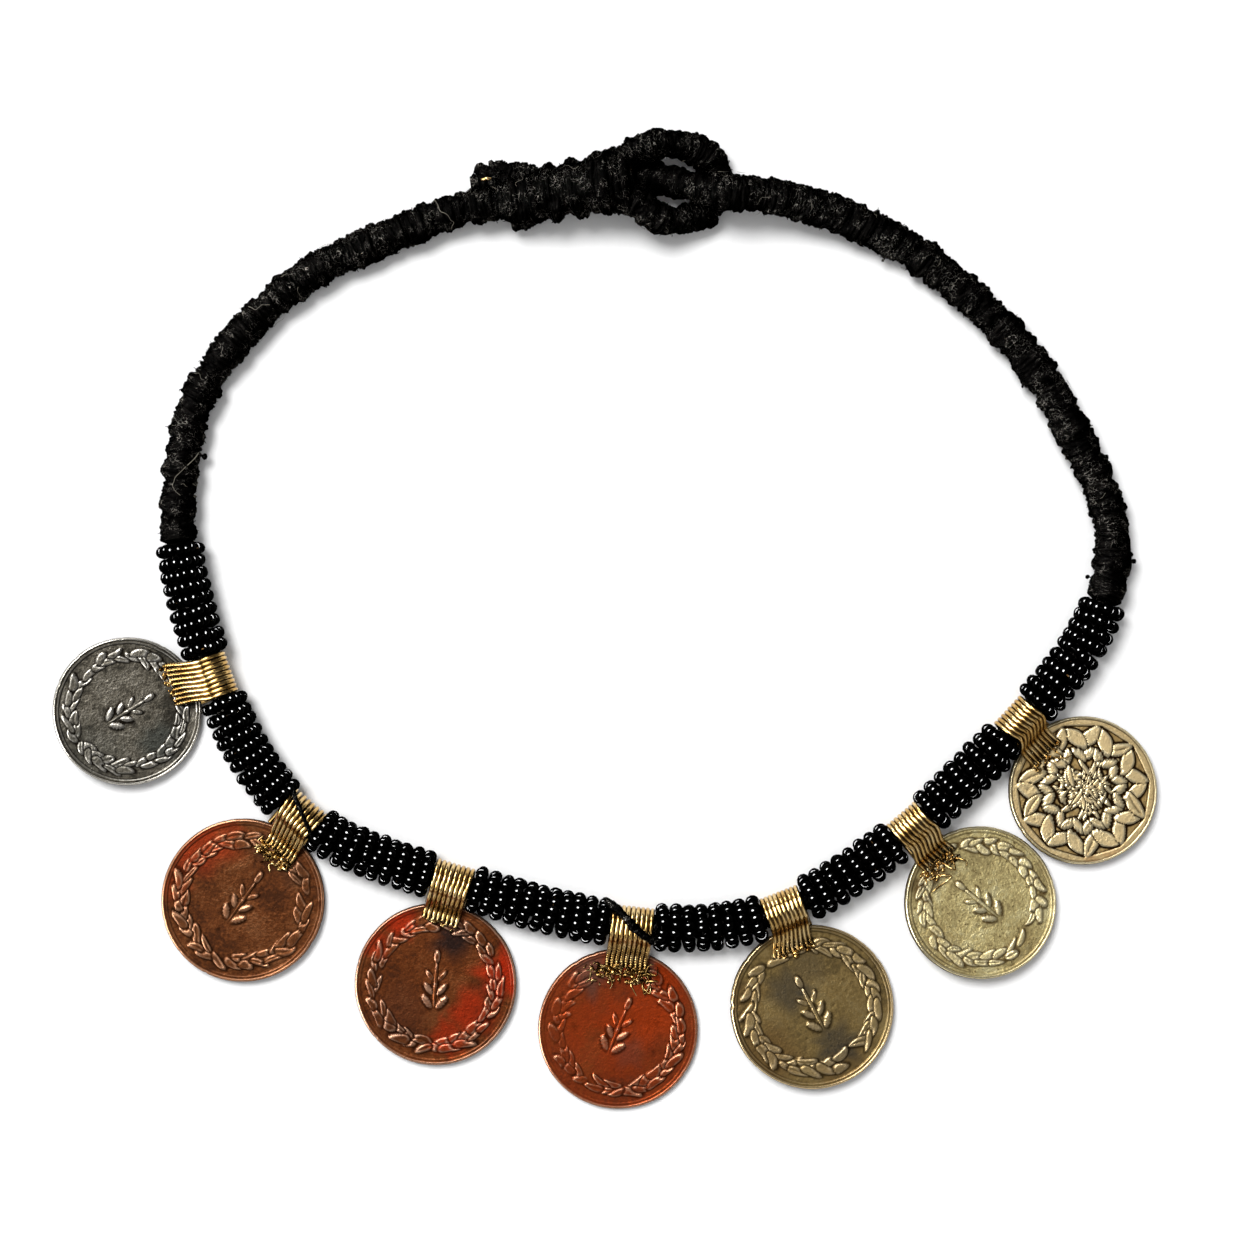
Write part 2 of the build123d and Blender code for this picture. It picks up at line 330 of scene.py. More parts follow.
# Colours or greys at places from 0 to 1, as pairs of (place, colour).
def ramp(tree, factor, stops):
    node = addNode(tree, "ShaderNodeValToRGB", {"Fac": factor})
    elements = node.color_ramp.elements
    while len(elements) < len(stops):
        elements.new(0.5)
    for element, (place, colour) in zip(elements, stops):
        element.position = place
        element.color = colourOf(colour)
    return node.outputs["Color"]


def mixed(tree, factor, first, second):
    inputs = {0: factor}
    for key, value in ((6, first), (7, second)):
        inputs[key] = value if isinstance(value, bpy.types.NodeSocket) else colourOf(value)
    return addNode(tree, "ShaderNodeMix", inputs, data_type="RGBA").outputs[2]


def worked(tree, how, first, second, clamped=False):
    return addNode(tree, "ShaderNodeMath", {0: first, 1: second}, operation=how, use_clamp=clamped).outputs[0]


def product(tree, first, second, clamped=False):
    return worked(tree, "MULTIPLY", first, second, clamped)


# Links what varies over the surface to the shader, with bumps of a strength and a depth where a height is given.
def dressed(tree, shader, varying, height=None, bumps=None):
    for key, output in varying.items():
        tree.links.new(output, shader.inputs[key])
    if bumps:
        bump = addNode(tree, "ShaderNodeBump", {"Height": height, "Strength": bumps[0], "Distance": bumps[1]})
        tree.links.new(bump.outputs["Normal"], shader.inputs["Normal"])


threadFinish = {
    "colours": ((0.0, 0.0008), (0.30, (0.0036, 0.0033, 0.0030)), (0.75, (0.0170, 0.0153, 0.0136))),
    "fibreColour": (0.46, 0.43, 0.38),
    "streaks": 8.0,                              # fine streaks to a mm, across the strands
    "streakRun": 0.15,                           # their width as a share of their length
    "strandShift": 9.0,                          # keeps one strand's streaks apart from the next one's
    "streakNoise": (1.0, 3.0),
    "blotches": (420.0, 4.0),
    "curls": (1700.0, 2.0),
    "web": (1250.0, 1.5, 0.5),                   # fine fibres lie along the level lines of this slow noise
    "webWidth": 0.009,
    "webShown": ((0.48, 0.0), (0.58, 0.70)),     # in some of the blotches
    "paleStreaks": ((0.60, 0.0), (0.70, 0.24)),
    "streaksShown": ((0.44, 0.1), (0.58, 1.0)),  # in some of the blotches
    "roughness": ((0.38, 0.55), (0.62, 0.30)),   # of the streaks
    "streakHeight": 0.7,
    "bumps": (0.9, 0.16 * mm),
}


# Old waxed black thread.  It is shaded as a very dark metal, because that has no pale rim where it turns away,
# and so is the black glass below.  Fine streaks follow the strands, read from the attributes along and around in
# mm, and a few pale fibres show in patches.  A fibre runs where a noise crosses its middle: its strength is
# 1 - |noise - 0.5| / width, cut off at 0.
def threadMaterial():
    finish = threadFinish
    material, tree, shader = newMaterial("blackThread", Metallic=1.0, **noTint)
    place = objectPlace(tree)
    tone = attribute(tree, "tone")
    blotches = noise(tree, place, *finish["blotches"])
    lengthwise = product(tree, attribute(tree, "along"), finish["streaks"])
    crosswise = product(tree, attribute(tree, "around"), finish["streaks"] * finish["streakRun"])
    ownShift = product(tree, tone, finish["strandShift"])
    onStrands = addNode(tree, "ShaderNodeCombineXYZ", {0: lengthwise, 1: crosswise, 2: ownShift}).outputs[0]
    streaks = noise(tree, onStrands, *finish["streakNoise"])
    curls = noise(tree, place, *finish["curls"])
    away = worked(tree, "ABSOLUTE", worked(tree, "SUBTRACT", noise(tree, place, *finish["web"]), 0.5), 0.0)
    web = worked(tree, "SUBTRACT", 1.0, worked(tree, "DIVIDE", away, finish["webWidth"]), True)
    webShown = product(tree, web, ramp(tree, blotches, finish["webShown"]))
    paler = ramp(tree, streaks, finish["paleStreaks"])
    streaksShown = product(tree, paler, ramp(tree, blotches, finish["streaksShown"]))
    shown = worked(tree, "MAXIMUM", webShown, streaksShown, True)
    colour = ramp(tree, product(tree, tone, blotches), finish["colours"])
    height = worked(tree, "ADD", product(tree, streaks, finish["streakHeight"]), curls)
    dressed(tree, shader, {"Base Color": mixed(tree, shown, colour, finish["fibreColour"]),
                           "Roughness": ramp(tree, streaks, finish["roughness"])}, height, finish["bumps"])
    return material


fluffFinish = {
    "colours": ((0.35, (0.117, 0.108, 0.0855)), (0.65, (0.26, 0.24, 0.19))),
    "variation": (600.0, 1.0),
}


# Loose fibres, whose colour varies a little along and between them.
def fluffMaterial():
    material, tree, shader = newMaterial("paleFluff", Roughness=0.6, **dull)
    variation = noise(tree, objectPlace(tree), *fluffFinish["variation"])
    dressed(tree, shader, {"Base Color": ramp(tree, variation, fluffFinish["colours"])})
    return material


sewingFinish = {
    "colours": ((0.62, (0.002, 0.0015, 0.001)), (0.68, (0.36, 0.19, 0.06))),
    "wear": (330.0, 2.0),
}


# Black sewing thread that shows amber where its wax is gone.
def sewingMaterial():
    material, tree, shader = newMaterial("sewingThread", Roughness=0.5, **dull)
    wear = noise(tree, objectPlace(tree), *sewingFinish["wear"])
    dressed(tree, shader, {"Base Color": ramp(tree, wear, sewingFinish["colours"])})
    return material


glassFinish = {
    "colours": ((0.0, 0.0065), (1.0, 0.0100)),
    "scratches": (2600.0, 2.0),
    "roughness": ((0.3, 0.10), (0.75, 0.17)),
    "bumps": (0.05, 0.02 * mm),
}


# Opaque black glass, with a slight difference of gloss from bead to bead.
def beadMaterial():
    material, tree, shader = newMaterial("blackGlass", Metallic=1.0, **noTint)
    scratches = noise(tree, objectPlace(tree), *glassFinish["scratches"])
    dressed(tree, shader, {"Base Color": ramp(tree, attribute(tree, "tone"), glassFinish["colours"]),
                           "Roughness": ramp(tree, scratches, glassFinish["roughness"])},
            scratches, glassFinish["bumps"])
    return material


giltFinish = {
    "colours": ((0.34, (0.50, 0.29, 0.08)), (0.50, (0.72, 0.46, 0.16)), (0.64, (0.88, 0.64, 0.30))),
    "wear": (420.0, 3.0),
    # Near black: grime, and painted shade between the wires.
    "grimeAndShade": (0.012, 0.005, 0.001),
    "grimeAndShadeShown": ((0.2, 1.0), (0.8, 0.8)),      # where it is worn
    "fine": (2400.0, 3.0),
    "roughness": ((0.3, 0.17), (0.7, 0.25)),
    "bumps": (0.05, 0.03 * mm),
}


# Gilt wire: bright on top, painted shade on the sides of each wire where it lies against the next, and brown grime
# towards the solder.
def goldMaterial():
    finish = giltFinish
    material, tree, shader = newMaterial("giltWire", Metallic=1.0)
    place = objectPlace(tree)
    wear = noise(tree, place, *finish["wear"])
    grimeAndShade = product(tree, attribute(tree, "grimeAndShade"), ramp(tree, wear, finish["grimeAndShadeShown"]), True)
    fine = noise(tree, place, *finish["fine"])
    clean = ramp(tree, wear, finish["colours"])
    dressed(tree, shader, {"Base Color": mixed(tree, grimeAndShade, clean, finish["grimeAndShade"]),
                           "Roughness": ramp(tree, fine, finish["roughness"])}, fine, finish["bumps"])
    return material


coinSkin = {
    "broad": (4.0, 0.62),                        # after the scale, which each finish has of its own
    "broadShare": 0.55,                          # of the broad noise in the mottle, and of the fine one
    "fine": (1500.0, 4.0, 0.68),
    "fineShare": 0.45,
    "layers": (0.40, 0.50, 0.60),                # mottle of the dark, usual and pale skin
    "stainsShown": ((0.40, 0.55), (0.56, 1.0)),  # on the mottle
    "speck": (2700.0, 2.0),
    "specksFrom": (0.62, 0.69),
    "wornShown": ((0.38, 1.0), (0.60, 0.72)),    # on the fine noise
    "wornRoughness": 0.20,
    "smoother": (-0.10, 0.08),                   # than the finish says, where it is dark and where it is pale
    "speckHeight": 0.7,
    "grainMiddle": 0.85,
    "grainShown": ((0.1, 1.0), (0.7, 0.06)),     # less on the edges
    "depth": 0.16 * mm,
}


# Old cast coin: mottled field, bare worn edges, dark dirt and painted shade in the crevices, painted shade down
# its side, and stains of two other colours.  Its skin is dull, so the two fixed values keep it from turning white
# where it is seen from low down.
def coinMaterial(name, finish):
    skin = coinSkin
    material, tree, shader = newMaterial(name, **{"Specular IOR Level": 0.0}, **noTint)
    place = objectPlace(tree)
    broad = noise(tree, place, finish["mottle"], *skin["broad"])
    fine = noise(tree, place, *skin["fine"])
    speck = noise(tree, place, *skin["speck"])
    mottle = product(tree, broad, skin["broadShare"])
    mottle = worked(tree, "ADD", mottle, product(tree, fine, skin["fineShare"]))
    layer = ramp(tree, mottle, tuple(zip(skin["layers"], (finish["dark"], finish["field"], finish["pale"]))))
    patchy = ramp(tree, mottle, skin["stainsShown"])
    for spots in ("stain", "soot"):
        layer = mixed(tree, product(tree, attribute(tree, spots), patchy, True), layer, finish[spots])
    layer = mixed(tree, product(tree, attribute(tree, "top"), finish["rubbed"], True), layer, finish["top"])
    pits = ramp(tree, speck, tuple(zip(skin["specksFrom"], (0.0, finish["specks"]))))
    # Specks of dirt, then dirt and painted shade in the hollows and painted shade down the side, in one dark
    # colour.
    for darkening in (pits, attribute(tree, "dirtAndShade")):
        layer = mixed(tree, darkening, layer, finish["dirtAndShade"])
    edge = attribute(tree, "edge")
    worn = product(tree, edge, ramp(tree, fine, skin["wornShown"]), True)
    rough = [finish["rough"] - less for less in skin["smoother"]]
    roughness = ramp(tree, mottle, ((skin["layers"][0], rough[0]), (skin["layers"][-1], rough[1])))
    grain = worked(tree, "ADD", fine, product(tree, speck, skin["speckHeight"]))
    grain = worked(tree, "SUBTRACT", grain, skin["grainMiddle"])
    grain = product(tree, grain, ramp(tree, edge, skin["grainShown"]))
    dressed(tree, shader, {"Base Color": mixed(tree, worn, layer, finish["bright"]),
                           "Metallic": mixed(tree, worn, finish["metallic"], 1.0),
                           "Roughness": mixed(tree, worn, roughness, skin["wornRoughness"])},
            grain, (finish["grain"], skin["depth"]))
    return material


# Thread-wound surfaces

winding = {
    "strand": 0.44 * mm,         # width of one strand
    "perMillimetre": 9.5,        # strands begun on each millimetre of a cord of the usual girth
    "usualGirth": 6.0 * mm,
    "levels": 0.34 * mm,         # how far the topmost strands stand over the lowest
    "slant": 0.08,               # mm along for each radian round
    "crossed": 0.55,             # share of strands that cross the others
    "bundle": 1.7 * mm,          # width of the bundles of turns under them
    "bundlesEach": 1.3,          # begun on each millimetre
    "bundleLevels": 0.25 * mm,
    "bundlesCrossed": 0.12,
    "bundleRise": 0.34,          # share of their roundness that shows
    "sink": 0.70 * mm,           # how deep the lowest strands lie
    "lumps": 0.14 * mm,          # slow changes of thickness
    "lumpRuns": (14 * mm, 3 * mm),
    "knots": 0.7,                # shorter ones that also change round the cord, as a share of the lumps
    "knotRuns": (5 * mm, 1.6 * mm),
    "knotShift": 2 * mm,
    "endShare": 0.45,            # of the section, at a rounded end
    "endRun": 0.7 * mm,
    "step": 0.15 * mm,
    "columns": 52,
    "fullGirth": 4.5 * mm,       # thinner cords have finer strands in proportion
}
strandDraws = {
    "ground": 0.2,               # tone where no strand lies
    "span": (1.5, 7.0),          # radians round the cord
    "crossSpan": (0.8, 3.0),
    "slopeSpread": 0.12,         # mm along for each radian round
    "crossSlopeSpread": 1.1,
    "width": (0.55, 1.4),        # as a share of the usual one
    "level": (0.4, 1.0),
    "tone": (1.2, 3.2),          # of the beta distribution
    "wander": (0.05, 0.30),      # mm
    "wanderRate": 2.3,
    "phase": (0, 6),
    "tip": 0.25,                 # radians in which a strand's end rises
}


# Half-round strands laid one over another.  Each is a ridge along station = begin + slope x angle + a small sine
# of the angle.  The height at a place is that of the highest strand there, and the tone is that strand's.
def laidStrands(generator, stations, angles, count, half, levels, crossed, slant):
    draws = strandDraws
    height = np.zeros((len(stations), len(angles)))
    tone = np.full(height.shape, draws["ground"])
    for strand in range(count):
        begin = generator.uniform(stations[0] - mm, stations[-1] + mm)
        angleStart = generator.uniform(0, fullTurn)
        crossing = generator.random() < crossed
        span = generator.uniform(*draws["crossSpan" if crossing else "span"])
        lean, spread = (0, draws["crossSlopeSpread"]) if crossing else (slant, draws["slopeSpread"])
        slope = generator.normal(lean, spread) * mm
        ownHalf = half * generator.uniform(*draws["width"])
        level = levels * strand / count * generator.uniform(*draws["level"])
        ownTone = generator.beta(*draws["tone"])
        wander = generator.uniform(*draws["wander"]) * mm
        phase = generator.uniform(*draws["phase"])
        for turn in range(int(span / fullTurn) + 1):
            unrolled = (angles - angleStart) % fullTurn + fullTurn * turn
            middle = begin + slope * unrolled + wander * np.sin(draws["wanderRate"] * unrolled + phase)
            ending = np.clip(np.minimum(unrolled, span - unrolled) / draws["tip"], 0, 1)
            low = np.searchsorted(stations, middle.min() - ownHalf)
            high = np.searchsorted(stations, middle.max() + ownHalf)
            across = (stations[low:high, None] - middle[None, :]) / ownHalf
            bump = ownHalf * np.sqrt(np.clip(1 - across * across, 0, None))
            here = np.where(bump > 0, level + bump, 0) * ending[None, :]
            higher = here > height[low:high]
            height[low:high] = np.where(higher, here, height[low:high])
            tone[low:high] = np.where(higher, ownTone, tone[low:high])
    return height, tone


# A cord of wound thread.  Its radius at (station, angle) is half the girth, less the sink, plus the bundles, the
# strands over them and slow lumps.  widths and heights are optional functions of the share along the line that
# scale the two half axes.  Returns points, faces, attributes and the middle line.
def woundSurface(line, start, end, girth, seed, columns=winding["columns"], widths=None, heights=None,
                 slant=winding["slant"], rounded=(True, True), bundleRise=winding["bundleRise"]):
    generator = np.random.default_rng(seed)
    size = min(1.0, girth / winding["fullGirth"])
    rows = int((end - start) / (winding["step"] * (0.4 + 0.6 * size))) + 1
    stations = np.linspace(start, end, rows)
    angles = anglesRound(columns)
    turns = (end - start) / mm * girth / winding["usualGirth"] / size
    bundles, _ = laidStrands(
        generator, stations, angles, int(turns * winding["bundlesEach"]), size * winding["bundle"] / 2,
        size * winding["bundleLevels"], winding["bundlesCrossed"], slant)
    height, tone = laidStrands(
        generator, stations, angles, int(turns * winding["perMillimetre"]), size * winding["strand"] / 2,
        size * winding["levels"], winding["crossed"], slant)
    shifted = stations[:, None] + winding["knotShift"] * np.sin(angles)
    slow = waves(generator, stations, 5, *winding["lumpRuns"])[:, None]
    lumps = winding["lumps"] * (slow + winding["knots"] * waves(generator, shifted, 4, *winding["knotRuns"]))
    usual = bundles.mean()
    raised = winding["bundleRise"] * usual + bundleRise * (bundles - usual)
    radius = girth / 2 - size * winding["sink"] + raised + height + size * lumps
    share = (stations - start) / (end - start)
    wide = np.ones(rows) if widths is None else widths(share)
    tall = wide if heights is None else heights(share)
    endRun = winding["endRun"]
    inset = np.minimum(stations - start if rounded[0] else endRun, end - stations if rounded[1] else endRun)
    rounding = np.sqrt(winding["endShare"] + (1 - winding["endShare"]) * softStep(0, endRun, inset))
    middles, _, sides, ups = framesOn(line, stations)
    sideways = (radius * (wide * rounding)[:, None])[..., None] * np.cos(angles)[:, None] * sides[:, None]
    upwards = (radius * (tall * rounding)[:, None])[..., None] * np.sin(angles)[:, None] * ups[:, None]
    points = middles[:, None] + sideways + upwards
    fromBelow = (angles + np.pi / 2) % fullTurn * girth / 2 / mm
    attributes = {
        "tone": tone.ravel(),
        "along": np.repeat(stations / mm, columns),
        "around": np.tile(fromBelow, rows),
    }
    return aboveTable(points.reshape(-1, 3)), tubeFaces(rows, columns), attributes, middles


# Thin tubes along lines given as an array of line by step by 3, which taper towards their end.
def thinTubes(middles, thickness, taper, sides):
    count, steps = middles.shape[:2]
    tangents = unit(np.gradient(middles, axis=1))
    firsts = unit(np.cross(tangents, np.array([0.31, 0.52, 0.79])))
    seconds = np.cross(firsts, tangents)
    radius = thickness / 2 * (1 - taper * np.linspace(0, 1, steps)[None, :, None, None])
    points = middles[:, :, None] + radius * directionsRound(anglesRound(sides), firsts, seconds)
    return aboveTable(points.reshape(-1, 3)), repeated(steps * sides, tubeFaces(steps, sides), count)


# Curled fibres: each runs straight along its direction, plus two sines across it that grow with its length.
def hairShape(roots, directions, lengths, thickness, generator, curl, steps, sides):
    count = len(roots)
    share = np.linspace(0, 1, steps)[None, :, None]
    directions = unit(directions)
    across = unit(np.cross(directions, generator.normal(size=(count, 3))))
    over = np.cross(directions, across)
    swing = generator.uniform(-curl, curl, (count, 2, 1)) * lengths[:, None, None]
    bend = np.sin(share * generator.uniform(1.5, 4.5, (count, 1, 1)))
    middles = (roots[:, None] + directions[:, None] * lengths[:, None, None] * share
               + across[:, None] * swing[:, :1] * bend + over[:, None] * swing[:, 1:] * bend * share)
    return thinTubes(middles, thickness, 0.6, sides)


# Camera, table and light

view = {
    "middle": (3.68 * mm, -1.12 * mm),   # of the photograph, on the table
    "height": 0.575,
    "width": 200.6 * mm,                 # of the photograph, at the height of the cord's middle
    "cordHeight": 3.0 * mm,
    "sensor": 36.0,
}
camera = bpy.data.objects.new("camera", bpy.data.cameras.new("camera"))
bpy.context.scene.collection.objects.link(camera)
camera.location = (*view["middle"], view["height"])
camera.data.sensor_width = view["sensor"]
camera.data.lens = view["sensor"] * (view["height"] - view["cordHeight"]) / view["width"]
camera.data.clip_start = 0.01
bpy.context.scene.camera = camera

# Each lamp's direction from the middle, distance, size and power, and what it leaves out.
lampTable = {
    # From the upper left, high up.
    "key": {"from": (-0.27, 0.34, 0.90), "away": 3.0, "size": 1.25, "power": 80.0},
    # Wide and weak, it only lifts the shadows.
    "fill": {"from": (0.0, 0.0, 1.0), "away": 1.5, "size": 2.4, "power": 13.5, "glossy": False},
    # Low boxes that draw the bright edges of metal.
    "left": {"from": (-0.90, -0.26, 0.38), "away": 1.6, "size": 1.1, "power": 44.0, "diffuse": False},
    "top": {"from": (-0.40, 0.82, 0.42), "away": 1.6, "size": 0.75, "power": 16.0, "diffuse": False},
    # These two draw the bright line along each wire.
    "over": {"from": (-0.26, 0.12, 0.96), "away": 2.0, "size": 1.8, "power": 22.0, "diffuse": False},
    "low": {"from": (0.28, -0.72, 0.62), "away": 1.6, "size": 1.9, "power": 5.0, "diffuse": False},
    # Draws the white dot on each glass bead.
    "glint": {"from": (-0.30, 0.38, 0.87), "away": 2.0, "size": 1.35, "power": 900.0, "diffuse": False},
}


def addLight(name, row):
    data = bpy.data.lights.new(name, "AREA")
    data.shape = "DISK"
    data.size = row["size"]
    data.energy = row["power"]
    lamp = bpy.data.objects.new(name, data)
    bpy.context.scene.collection.objects.link(lamp)
    towards = Vector(row["from"]).normalized()
    lamp.location = towards * row["away"]
    lamp.rotation_euler = towards.to_track_quat("Z", "Y").to_euler()
    lamp.visible_camera = False
    lamp.visible_diffuse = row.get("diffuse", True)
    lamp.visible_glossy = row.get("glossy", True)
    return lamp


lamps = {name: addLight(name, row) for name, row in lampTable.items()}


# A lamp that lights only some pieces, or all but those.
def lampFor(lamp, pieces, state="INCLUDE"):
    group = bpy.data.collections.new(lamp.name + "Pieces")
    for piece in pieces:
        group.objects.link(piece)
    for member in group.collection_objects:
        member.light_linking.link_state = state
    lamp.light_linking.receiver_collection = group


# The sky is dark overhead and paler towards its edge, as in a light tent with an opening on top.
sky = {"tones": ((0.0, 0.20), (0.30, 0.12), (0.75, 0.03))}      # by the height of the direction
world = bpy.data.worlds.new("studio")
world.use_nodes = True
skyTree = world.node_tree
skyPlace = addNode(skyTree, "ShaderNodeTexCoord").outputs["Generated"]
skyHeight = addNode(skyTree, "ShaderNodeSeparateXYZ", {"Vector": skyPlace}).outputs["Z"]
skyTree.links.new(ramp(skyTree, skyHeight, sky["tones"]), skyTree.nodes["Background"].inputs["Color"])
bpy.context.scene.world = world
bpy.context.scene.view_settings.view_transform = "Standard"

paper = {
    "grain": (900.0, 3.0),
    "colours": ((0.3, 0.93), (0.7, 0.96)),
    "roughness": 0.85,
    "reach": 1.6,        # from the middle to each side
}
tableMaterial, tableTree, tableShader = newMaterial("paper", Roughness=paper["roughness"])
paperGrain = noise(tableTree, objectPlace(tableTree), *paper["grain"])
dressed(tableTree, tableShader, {"Base Color": ramp(tableTree, paperGrain, paper["colours"])})
tablePoints = np.array([(-1, -1, 0), (1, -1, 0), (1, 1, 0), (-1, 1, 0)]) * paper["reach"]
tableMesh = bpy.data.meshes.new("table")
tableMesh.from_pydata(tablePoints, [], [(0, 1, 2, 3)])
tableMesh.materials.append(tableMaterial)
table = bpy.data.objects.new("table", tableMesh)
bpy.context.scene.collection.objects.link(table)
print("camera, light and table")


# Wound cords

blackThread = threadMaterial()
paleFluff = fluffMaterial()
beadsFrom = cords["beadsStart"] * lineShare
beadsTo = (cords["beadsStart"] + cords["beadsLength"]) * lineShare
routeEnd = routeLine["lengths"][-1]
intoBinding = 1.5 * mm       # the left cord's thread starts inside the binding
coreColumns = 12             # it is never seen


# A piece of wound thread on a node, with its points and middle line for the fibres on it.  What follows the node
# is what woundSurface takes.
def addWound(name, node, *where, **how):
    points, faces, marks, path = woundSurface(*where, **how)
    return addPiece(name, points, faces, blackThread, [node], marks), points, path


cordLeft, leftPoints, leftPath = addWound(
    "cord_left_thread", "cord_left", routeLine, -intoBinding, beadsFrom, cords["leftGirth"],
    seeds["cordLeft"], rounded=(False, True))
cordRight, rightPoints, rightPath = addWound(
    "cord_right_thread", "cord_right", routeLine, beadsTo, routeEnd, cords["rightGirth"],
    seeds["cordRight"], rounded=(True, False))
addWound("cord_core_thread", "cord_core", routeLine, beadsFrom, beadsTo, cords["coreGirth"], seeds["core"],
         coreColumns, rounded=(False, False))
print("wound cords")


# Closure: binding, loop and knob

binding = {
    "overLegs": 4.1 * mm,       # how far its last turns go on over the loop's two legs
    "legsFrom": 0.74,           # share of the binding where they start
    "legsWide": 1.19,           # half axes there, as shares of the binding's
    "legsTall": 0.63,
    "atCord": 0.66,             # half axes at the cord
    "swells": ((0.0, 0.22, 0.22), (0.22, 0.60, 0.12)),      # from, to and how much
    "dips": ((0.36, 0.04, 0.06), (0.62, 0.05, 0.05)),       # middle, width and how much
    "bundleRise": 0.80,         # its turns are thicker bundles than the cord's
    "slant": 0.22,
    "columns": 76,
}
bindingStart = np.array(routePoints[0])
bindingAway = unit(bindingStart - np.array(routePoints[1]))
bindingEnd = bindingStart + bindingAway * cords["bindingLength"]
bindingRun = cords["bindingLength"] + binding["overLegs"]
bindingLevel = unit(bindingAway * np.array([1, 1, 0.5]))     # the last turns follow the legs, which level out
bindingLine = lineThrough([bindingStart, bindingEnd - bindingAway * 2 * mm, bindingEnd,
                           bindingEnd + bindingLevel * binding["overLegs"]])


# Half width along the binding: it swells from the cord, dips twice, and spreads over the loop's legs.
def bindingWidths(share):
    onLegs = softStep(binding["legsFrom"], 1.0, share)
    swells = sum(rise * softStep(low, high, share) for low, high, rise in binding["swells"])
    dips = sum(depth * bell(share - place, width) for place, width, depth in binding["dips"])
    return binding["atCord"] + swells - dips + (binding["legsWide"] - 1) * onLegs


# Half height along the binding: as the half width, but it flattens to the legs' thickness.
def bindingHeights(share):
    onLegs = softStep(binding["legsFrom"], 1.0, share)
    return bindingWidths(share) * (1 - onLegs) + binding["legsTall"] * onLegs


_, bindPoints, bindPath = addWound(
    "binding_thread", "binding", bindingLine, 0.0, bindingRun, cords["bindingGirth"], seeds["binding"],
    binding["columns"], bindingWidths, bindingHeights, binding["slant"], bundleRise=binding["bundleRise"])

loop = {
    "fullness": 1.12,       # girth of its winding and of the pale fibres on it, as shares of the solid's
    "fibres": 1.1,
    "columns": 48,
}
legSide = unit(np.array([-bindingAway[1], bindingAway[0], 0])) * (cords["loopGirth"] + cords["legGap"]) / 2
legRun = bindingAway * cords["legStraight"]
loopControls = [bindingEnd + legSide, bindingEnd + legSide + legRun, *np.array(loopPoints),
                bindingEnd - legSide + legRun, bindingEnd - legSide]
loopLine = readLine("loopLine", loopControls)
loopEnd = loopLine["lengths"][-1]
_, loopSurface, loopPath = addWound("loop_eye_thread", "loop_eye", loopLine, 0.0, loopEnd,
                                    cords["loopGirth"] * loop["fullness"], seeds["loop"], loop["columns"])

knobColumns = 44
knobRadius = cords["knobGirth"] / 2
knobStart = routeLine["points"][-1]
knobAway = unit(routeLine["points"][-1] - routeLine["points"][-2])
knobEnd = cords["knobReach"] + knobRadius
knobLine = lineThrough([knobStart, knobStart + knobAway * knobEnd])


# A neck that swells into a ball: the larger of the neck's radius and the ball's circle, as shares of its radius.
def knobProfile(share):
    fromMiddle = (share * knobEnd - cords["knobReach"]) / knobRadius
    ball = np.sqrt(np.clip(1 - fromMiddle ** 2, 0.02, None))
    return np.where(fromMiddle < 0, np.maximum(ball, cords["neckGirth"] / cords["knobGirth"]), ball)


addWound("knob_thread", "knob", knobLine, 0.0, knobEnd, cords["knobGirth"], seeds["knob"], knobColumns,
         knobProfile, rounded=(False, False))

# Short ends of cord that stick out at the binding's left end: from and to, and girth, in mm.
stubs = [
    ((-12.4, 70.6, 6.4), (-21.2, 69.8, 5.2), 3.5),
    ((-16.0, 70.2, 6.6), (-20.4, 72.0, 6.0), 2.3),
    ((-17.2, 71.4, 6.6), (-18.1, 73.0, 6.4), 1.5),
    ((-14.2, 71.2, 6.6), (-17.4, 72.6, 6.6), 2.2),
    ((-10.4, 71.2, 6.4), (-15.2, 72.2, 6.4), 2.4),
    ((-11.0, 63.9, 3.4), (-14.8, 63.2, 3.0), 2.6),
    ((-13.4, 63.4, 3.0), (-14.3, 62.3, 2.6), 1.6),
]
stubColumns = 26
stubShapes = []
stubMarks = []
for seed, (start, end, girth) in enumerate(stubs, seeds["stubs"]):
    stubLine = lineThrough(np.array([start, end]) * mm)
    stubEnd = stubLine["lengths"][-1]
    points, faces, marks, _ = woundSurface(stubLine, 0.0, stubEnd, girth * mm, seed, stubColumns)
    stubShapes.append((points, faces))
    stubMarks.append(marks)
addPiece("binding_cord_ends", *joined(stubShapes), blackThread, (),
         {key: np.concatenate([marks[key] for marks in stubMarks]) for key in stubMarks[0]})
print("closure")


# Loose fibres

nubs = {
    "perMillimetre": 2.4,
    "length": (0.25 * mm, 0.60 * mm),
    "thickness": 0.20 * mm,
    "root": 0.08 * mm,              # how deep it starts
    "outwards": 0.7,                # against 1 along the surface
    "curl": 0.7,
    "steps": 5,
    "sides": 4,
    "tone": 0.5,                    # of the lightest
}
paleFibres = {
    "perMillimetre": 0.20,          # of a cord of the usual girth
    "length": (0.8 * mm, 3.4 * mm),
    "shorter": (0.4, 1),
    "thickness": 0.075 * mm,
    "lift": 0.12 * mm,              # over the nominal girth
    "direction": (np.pi / 2, 0.8),  # middle and spread, in radians from the cord's own
    "curl": (0.04, 0.28),           # as a share of the length
    "curlRate": (2, 8),
    "overside": 0.1,                # radians past the cord's upper half
    "steps": 9,
    "taper": 0.7,
    "sides": 3,
}
pathStep = 12                       # points of a cord's middle line that are passed over to find the nearest


